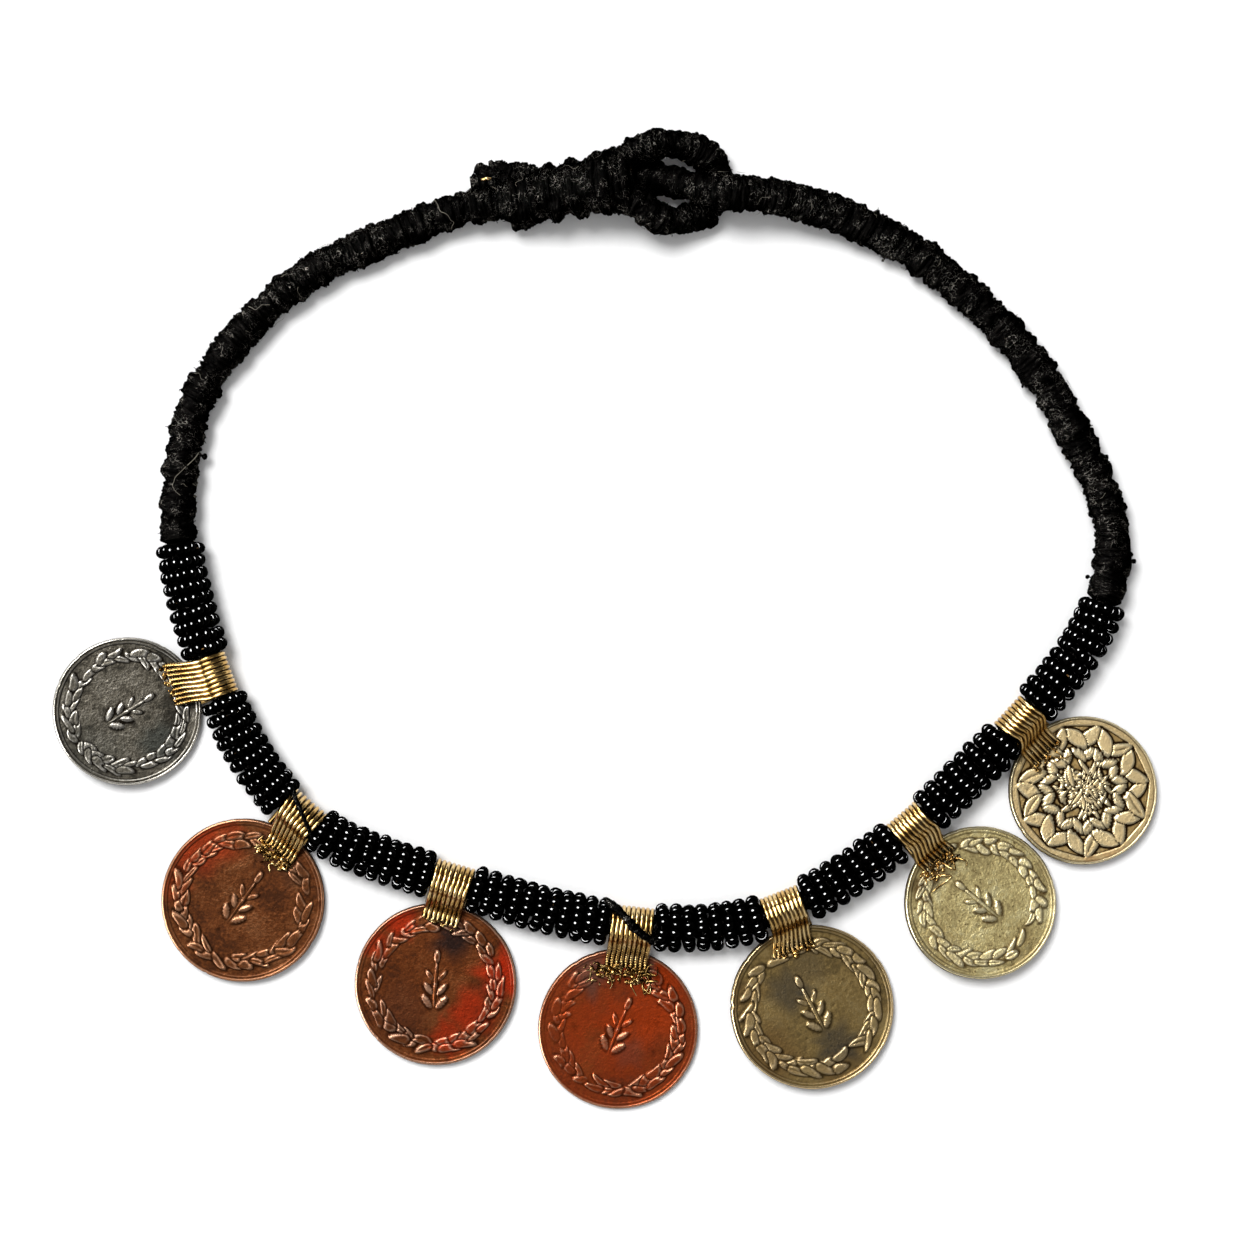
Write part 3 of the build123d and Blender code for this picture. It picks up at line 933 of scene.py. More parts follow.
# Dark nubs that stand out from random points of a wound surface.
def nubsOn(name, surface, path, length, seed):
    generator = np.random.default_rng(seed)
    count = int(length / mm * nubs["perMillimetre"])
    roots = surface[generator.integers(0, len(surface), count)]
    near = path[::pathStep]
    nearest = near[np.argmin(((roots[:, None] - near[None]) ** 2).sum(-1), axis=1)]
    away = unit(roots - nearest)
    lying = unit(np.cross(away, generator.normal(size=(count, 3))))
    lengths = generator.uniform(*nubs["length"], count)
    directions = away * nubs["outwards"] + lying
    shape = hairShape(roots - away * nubs["root"], directions, lengths, nubs["thickness"], generator,
                      nubs["curl"], nubs["steps"], nubs["sides"])
    tones = np.repeat(generator.random(count) * nubs["tone"], nubs["steps"] * nubs["sides"])
    addPiece(name + "_nubs", *shape, blackThread, (), {"tone": tones})


# Pale fibres that lie on a wound cord.  Each runs along station = begin + run x cos(direction) and
# angle = first + run x sin(direction) / radius, with a sine across its run, just over the winding.
def paleFibresOn(name, line, start, end, girth, seed, widths=None, heights=None):
    generator = np.random.default_rng(seed)
    count = int((end - start) / mm * paleFibres["perMillimetre"] * girth / winding["usualGirth"])
    each = (count, 1)
    share = np.linspace(0, 1, paleFibres["steps"])[None, :]
    lengths = generator.uniform(*paleFibres["length"], each) * generator.uniform(*paleFibres["shorter"], each)
    direction = generator.normal(*paleFibres["direction"], each)
    size = generator.uniform(*paleFibres["curl"], each) * lengths
    rate = generator.uniform(*paleFibres["curlRate"], each)
    curl = size * np.sin(share * rate + generator.uniform(0, 6, each))
    along = lengths * share * np.cos(direction) + curl * np.sin(direction)
    around = lengths * share * np.sin(direction) - curl * np.cos(direction)
    stations = np.clip(generator.uniform(start, end, each) + along, start, end).ravel()
    first = generator.uniform(-paleFibres["overside"], np.pi + paleFibres["overside"], each)
    angles = (first + around / (girth / 2)).ravel()
    middles, _, sides, ups = framesOn(line, stations)
    part = (stations - start) / (end - start)
    wide = np.ones(len(part)) if widths is None else widths(part)
    tall = wide if heights is None else heights(part)
    radius = girth / 2 + paleFibres["lift"]
    lines = (middles + (radius * wide * np.cos(angles))[:, None] * sides
             + (radius * tall * np.sin(angles))[:, None] * ups).reshape(count, -1, 3)
    addPiece(name + "_pale_fibres", *thinTubes(lines, paleFibres["thickness"], paleFibres["taper"],
                                               paleFibres["sides"]), paleFluff)


nubsOn("cord_left", leftPoints, leftPath, cords["beadsStart"], seeds["nubs"])
nubsOn("cord_right", rightPoints, rightPath, routeEnd - beadsTo, seeds["nubs"] + 1)
nubsOn("loop_eye", loopSurface, loopPath, loopEnd, seeds["nubs"] + 2)
nubsOn("binding", bindPoints, bindPath, cords["bindingLength"] * 1.5, seeds["nubs"] + 3)
paleFibresOn("cord_left", routeLine, 0.0, beadsFrom, cords["leftGirth"], seeds["paleFibres"])
paleFibresOn("cord_right", routeLine, beadsTo, routeEnd, cords["rightGirth"], seeds["paleFibres"] + 1)
paleFibresOn("loop_eye", loopLine, 0.0, loopEnd, cords["loopGirth"] * loop["fibres"], seeds["paleFibres"] + 2)
paleFibresOn("binding", bindingLine, 0.0, bindingRun, cords["bindingGirth"], seeds["paleFibres"] + 3,
             bindingWidths, bindingHeights)

# Thread ends that stand out from the cord: place of the tip on the page, girth, and size of a ball on it, in mm.
threadEnds = [
    {"tip": (-63.9, 26.2), "girth": 0.95, "ball": 0.50},
    {"tip": (-64.2, 29.2), "girth": 0.60, "ball": 0.30},
    {"tip": (84.7, 9.4), "girth": 0.95, "ball": 0.42},
    {"tip": (84.3, 10.6), "girth": 0.50, "ball": 0.25},
    {"tip": (77.3, 6.9), "girth": 0.50, "ball": 0.34},
    {"tip": (44.6, 57.5), "girth": 0.60, "ball": 0.28},
    {"tip": (61.2, 52.3), "girth": 0.65, "ball": 0.32},
    {"tip": (67.0, 37.4), "girth": 0.55, "ball": 0.28},
]
# Long pale fibres on the left cord: their points on the page, in mm.
longFibres = [
    [(-64.6, 26.6), (-66.2, 24.6), (-68.0, 22.9), (-68.7, 21.4), (-67.4, 19.8)],
    [(-27.0, 66.8), (-25.8, 64.9), (-24.4, 63.9), (-23.9, 63.0), (-24.4, 62.2)],
    [(-18.3, 70.0), (-17.7, 68.9), (-16.9, 67.8), (-16.7, 67.2)],
    [(-56.6, 49.8), (-55.2, 49.4), (-54.3, 50.3), (-53.2, 50.0)],
]

tufts = {
    "height": 0.9,                  # of a tip, as a share of the cord's
    "curl": 0.06,
    "steps": 8,
    "sides": 6,
    "tone": 0.25,
}
longFibre = {
    "steps": 24,
    "wiggle": 0.10 * mm,
    "rates": (5.1, 4.3),            # of the wiggle across and up the page
    "lift": 0.22 * mm,
    "thickness": 0.13 * mm,
    "taper": 0.5,
    "sides": 4,
}
grainBall = {
    "rows": 5,
    "columns": 7,
    "pole": 0.12,                   # radians that stay open, under a flat face
    "wobble": 0.10,
    "stretch": (0.7, 1.3),
}


# Small lumps: each a sphere of few faces, squashed and turned at random.
def grainShape(places, sizes, generator):
    rows = grainBall["rows"]
    columns = grainBall["columns"]
    tall = np.linspace(grainBall["pole"], np.pi - grainBall["pole"], rows)[:, None]
    turned = anglesRound(columns)
    ball = np.stack([np.sin(tall) * np.cos(turned), np.sin(tall) * np.sin(turned),
                     np.cos(tall) * np.ones(columns)], -1).reshape(-1, 3)
    wobble = 1 + generator.normal(0, grainBall["wobble"], (len(places), len(ball), 1))
    stretch = generator.uniform(*grainBall["stretch"], (len(places), 1, 3))
    points = places[:, None] + ball[None] * wobble * stretch * sizes[:, None, None]
    faces = [group[:, ::-1] for group in tubeFaces(rows, columns)]
    return points.reshape(-1, 3), repeated(rows * columns, faces, len(places))


# For places on the page, the nearest point of the route and how far off it is there.
def nearestOnRoute(places):
    apart = np.linalg.norm(places[:, None] - routeLine["points"][None, :, :2], axis=2)
    return routeLine["points"][np.argmin(apart, axis=1)], apart.min(axis=1)


endGenerator = np.random.default_rng(seeds["threadEnds"])
endTips = np.array([(*row["tip"], 0.0) for row in threadEnds]) * mm
endRoots, _ = nearestOnRoute(endTips[:, :2])
endTips[:, 2] = endRoots[:, 2] * tufts["height"]
endShapes = [grainShape(endTips, np.array([row["ball"] for row in threadEnds]) * mm, endGenerator)]
for row, root, tip in zip(threadEnds, endRoots, endTips):
    run = np.array([np.linalg.norm(tip - root)])
    endShapes.append(hairShape(root[None], (tip - root)[None], run, row["girth"] * mm, endGenerator,
                               tufts["curl"], tufts["steps"], tufts["sides"]))
endPoints, endFaces = joined(endShapes)
addPiece("thread_ends", aboveTable(endPoints), endFaces, blackThread, (),
         {"tone": np.full(len(endPoints), tufts["tone"])})
fibreShapes = []
for page in longFibres:
    flat = np.array(page) * mm
    steps = np.linspace(0, len(flat) - 1, longFibre["steps"])
    curve = np.column_stack([np.interp(steps, np.arange(len(flat)), column) for column in flat.T])
    wiggle = [np.sin(steps * longFibre["rates"][0]), np.cos(steps * longFibre["rates"][1])]
    curve = curve + longFibre["wiggle"] * np.column_stack(wiggle)
    nearest, apart = nearestOnRoute(curve)
    radius = cords["leftGirth"] / 2 + longFibre["lift"]
    rise = np.sqrt(np.clip(radius ** 2 - apart ** 2, 0, None))
    onCord = np.column_stack([curve, nearest[:, 2] + rise])
    fibreShapes.append(thinTubes(onCord[None], longFibre["thickness"], longFibre["taper"],
                                 longFibre["sides"]))
addPiece("long_fibres", *joined(fibreShapes), paleFluff)
print("loose fibres")


# Coins and their bails

bail = {
    "wire": 0.8 * mm,
    "pitch": 0.76 * mm,
    "clearance": 0.1 * mm,
    "reach": 10.5 * mm,
    "sideGap": 0.25 * mm,
    "sink": 0.12 * mm,
    "bend": 1.6 * mm,
    "bendShare": 0.4,       # of the shorter stretch beside the bend, at most
    "bendSteps": 9,
    "turnSteps": 60,
    "step": 0.27 * mm,
    "beadedStep": 0.13 * mm,
    "beadedFrom": 4,        # mm of beading that need the shorter step
    "beadedPitch": 0.52 * mm,
    "beadedRise": 0.20,     # share of a wire's radius
    "fanAt": (0, 3.5, 7.5, 11.0),       # mm from the leg's end where the wires spread as the table says
    "kinkWidth": 0.95 * mm,
    "swayWidth": 1.7 * mm,
    "tipRun": 8.5 * mm,     # over which a shifted end comes back into line
    "shared": 0.05 * mm,    # waver of all the wires, and of each along the cord and up
    "waver": 0.025 * mm,
    "lift": 0.02 * mm,
    "uneven": 0.55,         # mm by which the wires' ends differ
    "thinner": 0.97,
    "grain": 0.008,         # roughness of a wire, as a share of its radius
    "sides": 8,
}
coin = {
    "thickness": 1.55 * mm,
    "rimWidth": 0.8 * mm,
    "rimHeight": 0.25 * mm,
    "relief": 0.24 * mm,
    "sleeveGirth": 7.7 * mm,
    "columns": 320,
    # The rings of points on the face, as shares of the radius: from, to and how many.
    "rings": ((0.006, 0.46, 24), (0.49, 0.60, 5), (0.615, 0.885, 34), (0.897, 0.980, 12)),
    "lip": (0.976, 0.010, 0.11 * mm),       # middle and width as shares of the radius, and height
    "groove": (0.957, 0.008, 0.015 * mm),
    "rimWave": 0.20,
    "dents": 120,
    "dentSize": (0.012, 0.050),
    "dentDepth": (-1, 0.6),
    "unevenness": 0.035 * mm,               # height of the dents and of the slow waves
    "hollow": 0.045,                        # mm below or above what is near that count as full depth
    "nicks": 9,
    "nickSize": (0.008, 0.035),
    "nickDepth": (0.001, 0.008),
    "outOfRound": 0.0020,
    "bevel": (0.986, 0.992, 0.997, 1.0),
    "bevelDrop": (0.03, 0.09, 0.16, 0.27),  # mm
    "bevelBright": (1.0, 0.9, 0.4, 0.0),
    # Painted shade, darker row by row down the bevel and the side.
    "edgeShade": (0.0, 0.1, 0.5, 0.85, 0.9, 0.9),        # down the bevel and the side
    "side": ((1.0, 0.2 * mm), (0.996, 0.05 * mm)),      # share of the radius, and height
    "back": 0.988,                          # radius of the back's rim, as a share of the face's
    "backHollow": 0.12 * mm,
    "stainFade": (0.40, 1.30),
    "stainWave": 0.18,
}
# How each coin hangs, as in the part's source: its share of the beadwork's length, how far its edge and its
# bail's landing lie from the cord, and its wires.
hanging = [
    {"share": 0.1095, "reach": 0.87, "landing": 0.110, "wires": 9, "finish": "nickel"},
    {"share": 0.2406, "reach": 0.95, "landing": 0.035, "wires": 8, "finish": "copper"},
    {"share": 0.3726, "reach": 1.02, "landing": 0.035, "wires": 8, "finish": "darkCopper"},
    {"share": 0.5199, "reach": 1.10, "landing": 0.035, "wires": 9, "finish": "redCopper"},
    {"share": 0.6430, "reach": 0.87, "landing": 0.030, "wires": 9, "finish": "bronze"},
    {"share": 0.7636, "reach": 1.12, "landing": 0.035, "wires": 8, "finish": "greenBrass"},
    {"share": 0.8835, "reach": 0.85, "landing": 0.035, "wires": 8, "finish": "paleBrass"},
]
# The relief.  turn: degrees to the wreath's open end.  gap: degrees that stay open.  lean: degrees of the
# sprig.  leaves: in each row.  worn: how far it is worn away, most towards the angle wornAt.
reliefs = [
    {"turn": 25, "gap": 8, "lean": 32, "leaves": 27, "worn": 0.40, "wornAt": 190},
    {"turn": 55, "gap": 8, "lean": 55, "leaves": 27, "worn": 0.45, "wornAt": 0},
    {"turn": 85, "gap": 8, "lean": 86, "leaves": 28, "worn": 0.45, "wornAt": 160},
    {"turn": 95, "gap": 8, "lean": 68, "leaves": 28, "worn": 0.75, "wornAt": 170},
    {"turn": -47, "gap": 11, "lean": 118, "leaves": 27, "worn": 0.25, "wornAt": 150},
    {"turn": -30, "gap": 12, "lean": 140, "leaves": 26, "worn": 0.25, "wornAt": 200},
    {"turn": 8, "petals": 11},
]
# rim and lip: heights of the rim and of its outer lip as shares of the usual ones.  ink: how dark the dirt and
# painted shade in the hollows beside the relief are.  shine: how bright its edges are.
edges = [
    {"rim": 0.55, "lip": 1.0, "ink": 1.1, "shine": 0.80},
    {"rim": 0.30, "lip": 0.6, "ink": 0.8, "shine": 0.45},
    {"rim": 0.22, "lip": 0.6, "ink": 0.8, "shine": 0.45},
    {"rim": 0.14, "lip": 0.5, "ink": 0.8, "shine": 0.45},
    {"rim": 0.45, "lip": 1.0, "ink": 0.8, "shine": 0.45},
    {"rim": 0.40, "lip": 0.9, "ink": 0.8, "shine": 0.45},
    {"rim": 0.0, "lip": 0.9, "ink": 1.4, "shine": 0.55},
]
# The bail's wires.  beaded: how much of each is beaded, in mm.  fan: how far they spread on the leg, over the
# cord and on its far side.  tip: how far the leg's end is shifted along the cord, in mm.  kinks and sway: bends of
# them all up and along the cord, as place from the leg's end and height in mm.
bends = [
    {"beaded": 4.6, "fan": (1.06, 1.0, 1.0), "tip": -1.1, "kinks": [], "sway": []},
    {"beaded": 2.2, "fan": (0.94, 1.0, 1.18), "tip": 1.1, "kinks": [(3.4, 0.14), (6.2, -0.10)], "sway": []},
    {"beaded": 1.0, "fan": (1.0, 1.0, 1.05), "tip": 0.0, "kinks": [(2.6, -0.12), (5.2, 0.12)], "sway": []},
    {"beaded": 4.4, "fan": (1.02, 1.0, 1.0), "tip": -0.15, "kinks": [(4.2, 0.12)], "sway": []},
    {"beaded": 1.6, "fan": (1.08, 0.92, 0.95), "tip": -1.1, "kinks": [(2.2, 0.16), (4.6, -0.26)],
     "sway": [(4.2, 0.25)]},
    {"beaded": 1.4, "fan": (1.06, 0.98, 1.0), "tip": 0.0, "kinks": [(3.2, 0.26), (5.6, -0.20)],
     "sway": [(5.6, 0.45), (3.2, -0.35)]},
    {"beaded": 0.8, "fan": (1.05, 0.98, 1.02), "tip": -0.75, "kinks": [(2.4, 0.20), (4.6, -0.22)],
     "sway": [(7.4, 0.55), (4.4, -0.25)]},
]
coinTable = [{**hang, **relief, **edge, **bend}
             for hang, relief, edge, bend in zip(hanging, reliefs, edges, bends)]
# Solder at the end of each leg: lumps and curled ends of wire, how far it is shifted along the cord, its half
# width and how far it reaches down the coin, in mm.
solderTable = [
    {"lumps": 26, "curls": 2, "shift": 0.0, "half": 3.2, "reach": 0.5},
    {"lumps": 56, "curls": 20, "shift": -0.3, "half": 3.1, "reach": 1.8},
    {"lumps": 14, "curls": 0, "shift": 0.0, "half": 2.8, "reach": 0.4},
    {"lumps": 90, "curls": 44, "shift": -1.0, "half": 4.7, "reach": 2.4},
    {"lumps": 16, "curls": 2, "shift": 0.3, "half": 3.2, "reach": 0.4},
    {"lumps": 52, "curls": 16, "shift": -0.8, "half": 3.2, "reach": 1.6},
    {"lumps": 14, "curls": 3, "shift": 0.0, "half": 2.9, "reach": 0.5},
]
# field, dark and pale: the mottled skin.  top: leaves where they are rubbed.  bright: bare metal.  After it the
# dark colour of specks of dirt, and of the dirt and painted shade in the hollows and on the side.  stain and soot:
# the two colours of the stains below.
coinColours = {
    "nickel": {
        "field": (0.088, 0.078, 0.060), "dark": (0.026, 0.024, 0.019), "pale": (0.165, 0.150, 0.122),
        "top": (0.230, 0.215, 0.180), "bright": (0.80, 0.76, 0.68), "dirtAndShade": (0.008, 0.006, 0.004),
        "stain": (0.040, 0.045, 0.040), "soot": (0.010, 0.009, 0.007)},
    "copper": {
        "field": (0.090, 0.028, 0.009), "dark": (0.040, 0.014, 0.006), "pale": (0.140, 0.052, 0.020),
        "top": (0.190, 0.080, 0.034), "bright": (0.85, 0.44, 0.25), "dirtAndShade": (0.009, 0.003, 0.001),
        "stain": (0.210, 0.022, 0.006), "soot": (0.030, 0.016, 0.010)},
    "darkCopper": {
        "field": (0.105, 0.028, 0.008), "dark": (0.048, 0.015, 0.006), "pale": (0.170, 0.054, 0.018),
        "top": (0.200, 0.075, 0.030), "bright": (0.90, 0.52, 0.34), "dirtAndShade": (0.008, 0.002, 0.001),
        "stain": (0.330, 0.020, 0.005), "soot": (0.026, 0.014, 0.011)},
    "redCopper": {
        "field": (0.200, 0.033, 0.009), "dark": (0.108, 0.022, 0.008), "pale": (0.270, 0.054, 0.014),
        "top": (0.260, 0.060, 0.020), "bright": (0.95, 0.50, 0.30), "dirtAndShade": (0.015, 0.003, 0.001),
        "stain": (0.320, 0.036, 0.006), "soot": (0.100, 0.052, 0.036)},
    "bronze": {
        "field": (0.195, 0.132, 0.048), "dark": (0.098, 0.068, 0.027), "pale": (0.290, 0.208, 0.086),
        "top": (0.380, 0.290, 0.150), "bright": (0.92, 0.70, 0.40), "dirtAndShade": (0.014, 0.007, 0.002),
        "stain": (0.130, 0.072, 0.024), "soot": (0.048, 0.042, 0.032)},
    "greenBrass": {
        "field": (0.410, 0.335, 0.150), "dark": (0.240, 0.190, 0.084), "pale": (0.550, 0.480, 0.255),
        "top": (0.700, 0.620, 0.380), "bright": (0.98, 0.86, 0.56), "dirtAndShade": (0.045, 0.020, 0.004),
        "stain": (0.180, 0.110, 0.030), "soot": (0.040, 0.014, 0.002)},
    "paleBrass": {
        "field": (0.340, 0.230, 0.090), "dark": (0.240, 0.155, 0.058), "pale": (0.560, 0.430, 0.220),
        "top": (0.800, 0.640, 0.360), "bright": (1.0, 0.88, 0.58), "dirtAndShade": (0.012, 0.005, 0.001),
        "stain": (0.260, 0.100, 0.012), "soot": (0.060, 0.034, 0.010)},
}
# rubbed: how far the leaves show their top colour.  specks: of dirt.  mottle: scale of the mottles.
coinFinishes = {
    "nickel": {"rubbed": 0.25, "specks": 0.70, "mottle": 240, "metallic": 0.78, "rough": 0.40, "grain": 0.55},
    "copper": {"rubbed": 0.20, "specks": 0.45, "mottle": 190, "metallic": 0.62, "rough": 0.38, "grain": 0.34},
    "darkCopper": {"rubbed": 0.15, "specks": 0.45, "mottle": 170, "metallic": 0.62, "rough": 0.36, "grain": 0.30},
    "redCopper": {"rubbed": 0.10, "specks": 0.30, "mottle": 160, "metallic": 0.62, "rough": 0.34, "grain": 0.26},
    "bronze": {"rubbed": 0.40, "specks": 0.35, "mottle": 170, "metallic": 0.66, "rough": 0.36, "grain": 0.30},
    "greenBrass": {"rubbed": 0.35, "specks": 0.80, "mottle": 260, "metallic": 0.62, "rough": 0.38, "grain": 0.50},
    "paleBrass": {"rubbed": 0.48, "specks": 0.35, "mottle": 220, "metallic": 0.62, "rough": 0.36, "grain": 0.30},
}
# Stains: place on the page from the coin's middle, right and up, and size, as shares of its radius, and strength.
stainTable = {
    "nickel": {"stain": [(0.45, -0.42, 0.30, 0.9), (-0.5, -0.6, 0.5, 0.3)],
               "soot": [(0.72, 0.20, 0.24, 1.0), (0.62, -0.10, 0.18, 0.8)]},
    "copper": {"stain": [(-0.55, 0.70, 0.42, 0.9), (-0.85, 0.2, 0.25, 0.5), (-0.2, 0.92, 0.2, 0.6)],
               "soot": [(0.35, 0.62, 0.22, 0.8), (0.62, 0.30, 0.18, 0.5)]},
    "darkCopper": {"stain": [(0.85, 0.10, 0.34, 1.0), (0.45, -0.35, 0.30, 0.8), (-0.45, 0.80, 0.24, 0.9),
                             (-0.75, 0.5, 0.2, 0.6), (0.15, -0.66, 0.24, 0.7)],
                   "soot": [(0.22, 0.55, 0.26, 1.0), (-0.45, -0.35, 0.4, 0.35)]},
    "redCopper": {"stain": [(0.42, 0.20, 0.40, 0.9), (0.62, 0.66, 0.26, 1.0), (-0.50, 0.10, 0.30, 0.5),
                            (0.0, 0.10, 0.30, 0.7), (0.05, -0.35, 0.30, 0.4)],
                  "soot": [(-0.35, 0.72, 0.26, 0.9), (0.15, -0.30, 0.20, 0.35), (0.35, 0.78, 0.14, 0.8)]},
    "bronze": {"stain": [(-0.55, -0.60, 0.45, 0.8), (0.40, -0.80, 0.40, 0.6), (-0.85, 0.1, 0.3, 0.6)],
               "soot": [(-0.28, 0.20, 0.28, 0.9), (0.30, -0.45, 0.28, 0.9), (-0.05, 0.50, 0.25, 0.5)]},
    "greenBrass": {"stain": [(0.60, -0.65, 0.35, 0.4), (-0.55, -0.60, 0.35, 0.4)],
                   "soot": [(-0.62, 0.48, 0.24, 1.0), (-0.84, 0.22, 0.13, 1.0), (-0.70, 0.05, 0.07, 0.9)]},
    "paleBrass": {"stain": [(0.42, -0.90, 0.15, 1.0), (-0.35, -0.42, 0.10, 0.9), (0.10, -0.95, 0.12, 0.9)],
                  "soot": [(-0.5, 0.6, 0.25, 0.6), (0.70, 0.62, 0.12, 0.4)]},
}


# Middle, upward normal and radius of the flat back of a coin, from the CAD node's triangles.
def lowestDisc(node):
    mesh = frame["nodes"][node].data
    mesh.calc_loop_triangles()
    corners = np.empty(len(mesh.loop_triangles) * 3, np.int32)
    mesh.loop_triangles.foreach_get("vertices", corners)
    triangles = vertexPlaces(mesh)[corners.reshape(-1, 3)]
    crossed = np.cross(triangles[:, 1] - triangles[:, 0], triangles[:, 2] - triangles[:, 0])
    areas = np.linalg.norm(crossed, axis=1) / 2
    normals = crossed / np.maximum(areas, 1e-18)[:, None] / 2
    largest = np.argmax(areas * (normals[:, 2] < -0.9))
    middles = triangles.mean(axis=1)
    sameWay = normals @ normals[largest] > 0.99999
    samePlane = np.abs((middles - middles[largest]) @ normals[largest]) < 0.01 * mm
    chosen = sameWay & samePlane
    area = areas[chosen].sum()
    middle = (middles[chosen] * areas[chosen, None]).sum(axis=0) / area
    return middle, -normals[largest], np.sqrt(area / np.pi)


leafForm = {
    "bluntAside": 1.8,
    "crown": 0.10,          # how much lower a leaf's top is at its sides
    "veinWidth": 0.20,
    "veinFrom": 0.010,      # shares of the coin's radius, as below
    "cutTo": 0.004,
}


# How far a point is inside a leaf: half the width x (1 - |along| to the blunt - |aside| to the bluntAside),
# where along and aside are shares of the half length and half width, skewed and tapered.  Returns these two also.
def leafInside(across, up, middle, lean, length, width, skew, taper, blunt):
    cosine = np.cos(lean)
    sine = np.sin(lean)
    along = ((across - middle[0]) * cosine + (up - middle[1]) * sine) / (length / 2)
    aside = (-(across - middle[0]) * sine + (up - middle[1]) * cosine) / (width / 2)
    aside = (aside + skew * along * along) * (1 + taper * np.clip(along, -1, 1))
    return width / 2 * (1 - np.abs(along) ** blunt - np.abs(aside) ** leafForm["bluntAside"]), along, aside


# A flat-topped leaf laid over what is there: its top rises along it, and the old relief is cut down round it.
def laidLeaf(height, across, up, middle, lean, length, width, level, groove, vein=0.0, rise=0.22, skew=0.0,
             taper=0.0, shoulder=0.026, blunt=2.6):
    inside, along, aside = leafInside(across, up, middle, lean, length, width, skew, taper, blunt)
    crown = 1 - leafForm["crown"] * np.clip(aside * aside, 0, 1)
    top = softStep(0.0, shoulder, inside) * crown * (1 + rise * along)
    top = top - vein * np.exp(-(aside / leafForm["veinWidth"]) ** 2) * (inside > leafForm["veinFrom"])
    cut = softStep(-groove, leafForm["cutTo"], inside)
    return height * (1 - cut) + np.clip(top, 0, None) * level


def onCircle(radius, angle):
    return radius * np.cos(angle), radius * np.sin(angle)


# Lengths are shares of the coin's radius, here and in the petals.
wreath = {
    "rows": ((0.710, 17, 0.45), (0.803, -17, 0.0)),     # radius, slant in degrees, and leaves that it is ahead
    "length": 0.265,
    "lengths": (0.72, 1.20),        # shares of it, and so on
    "width": 0.104,
    "widths": (0.70, 1.18),
    "levels": (0.75, 1.0),
    "angleSpread": 0.02,            # radians
    "rowSpread": 0.010,
    "leanSpread": 11,               # degrees
    "wornDown": 0.85,               # of the level, where it is most worn
    "missing": (0.02, 0.22),        # chance that a leaf is gone, and how much more where it is worn
    "skew": (-0.7, 0.7),
    "taper": (-0.1, 0.5),
    "vein": 0.30,
    "veined": 0.35,                 # share of the leaves
    "groove": 0.012,
    "rise": 0.30,
    "shoulder": 0.022,
}
sprig = {
    "pairs": ((-0.22, 1.0), (-0.06, 0.9), (0.10, 0.8)),     # place along the stem, and size
    "aside": 0.092,
    "spread": 38,                   # degrees
    "leaf": (0.22, 0.088),          # length and width
    "level": 0.9,
    "groove": 0.010,
    "stem": (0.70, 0.056),
    "stemMiddle": 0.02,
    "stemGroove": 0.008,
    "bud": (0.17, 0.085),
    "budMiddle": 0.34,
    "wornDown": 0.5,
}


# Two rows of leaves that overlap like a braid and point to the wreath's open end on both sides.
def wreathRelief(across, up, row, generator):
    height = np.zeros_like(across)
    turn = np.radians(row["turn"])
    gap = np.radians(row["gap"])
    count = row["leaves"]
    spread = np.linspace(0, 1, count)
    for step in np.argsort(-np.abs(spread - 0.5))[::-1]:
        side = 1 if spread[step] > 0.5 else -1
        for ring, slant, offset in wreath["rows"]:
            angle = turn + gap + (fullTurn - 2 * gap) * (step + 0.5 + side * offset) / count
            angle = angle + generator.normal(0, wreath["angleSpread"])
            wornHere = row["worn"] * (0.5 + 0.5 * np.cos(angle - np.radians(row["wornAt"])))
            middle = onCircle(ring + generator.normal(0, wreath["rowSpread"]), angle)
            slant = np.radians(slant + generator.normal(0, wreath["leanSpread"]))
            lean = angle + side * np.pi / 2 + side * slant
            length = wreath["length"] * generator.uniform(*wreath["lengths"])
            width = wreath["width"] * generator.uniform(*wreath["widths"])
            level = generator.uniform(*wreath["levels"]) * (1 - wreath["wornDown"] * wornHere)
            skew = generator.uniform(*wreath["skew"])
            taper = generator.uniform(*wreath["taper"])
            vein = wreath["vein"] * (generator.random() < wreath["veined"])
            if generator.random() < wreath["missing"][0] + wreath["missing"][1] * wornHere:
                continue
            height = laidLeaf(height, across, up, middle, lean, length, width, level, wreath["groove"], vein,
                              wreath["rise"], skew, taper, wreath["shoulder"])
    return laidSprig(height, across, up, row)


# A small sprig in the wreath's middle: three pairs of leaves, a stem over them and a bud.
def laidSprig(height, across, up, row):
    stemLean = np.radians(row["lean"])
    along = np.array([np.cos(stemLean), np.sin(stemLean)])
    aside = np.array([-along[1], along[0]])
    fade = 1 - sprig["wornDown"] * row["worn"]
    length, width = sprig["leaf"]
    for step, size in sprig["pairs"]:
        for side in (-1, 1):
            middle = along * step + aside * side * sprig["aside"] * size
            lean = stemLean + side * np.radians(sprig["spread"])
            height = laidLeaf(height, across, up, middle, lean, length * size, width * size,
                              sprig["level"] * fade, sprig["groove"])
    height = laidLeaf(height, across, up, along * sprig["stemMiddle"], stemLean, *sprig["stem"], fade,
                      sprig["stemGroove"])
    return laidLeaf(height, across, up, along * sprig["budMiddle"], stemLean, *sprig["bud"], fade,
                    sprig["groove"])


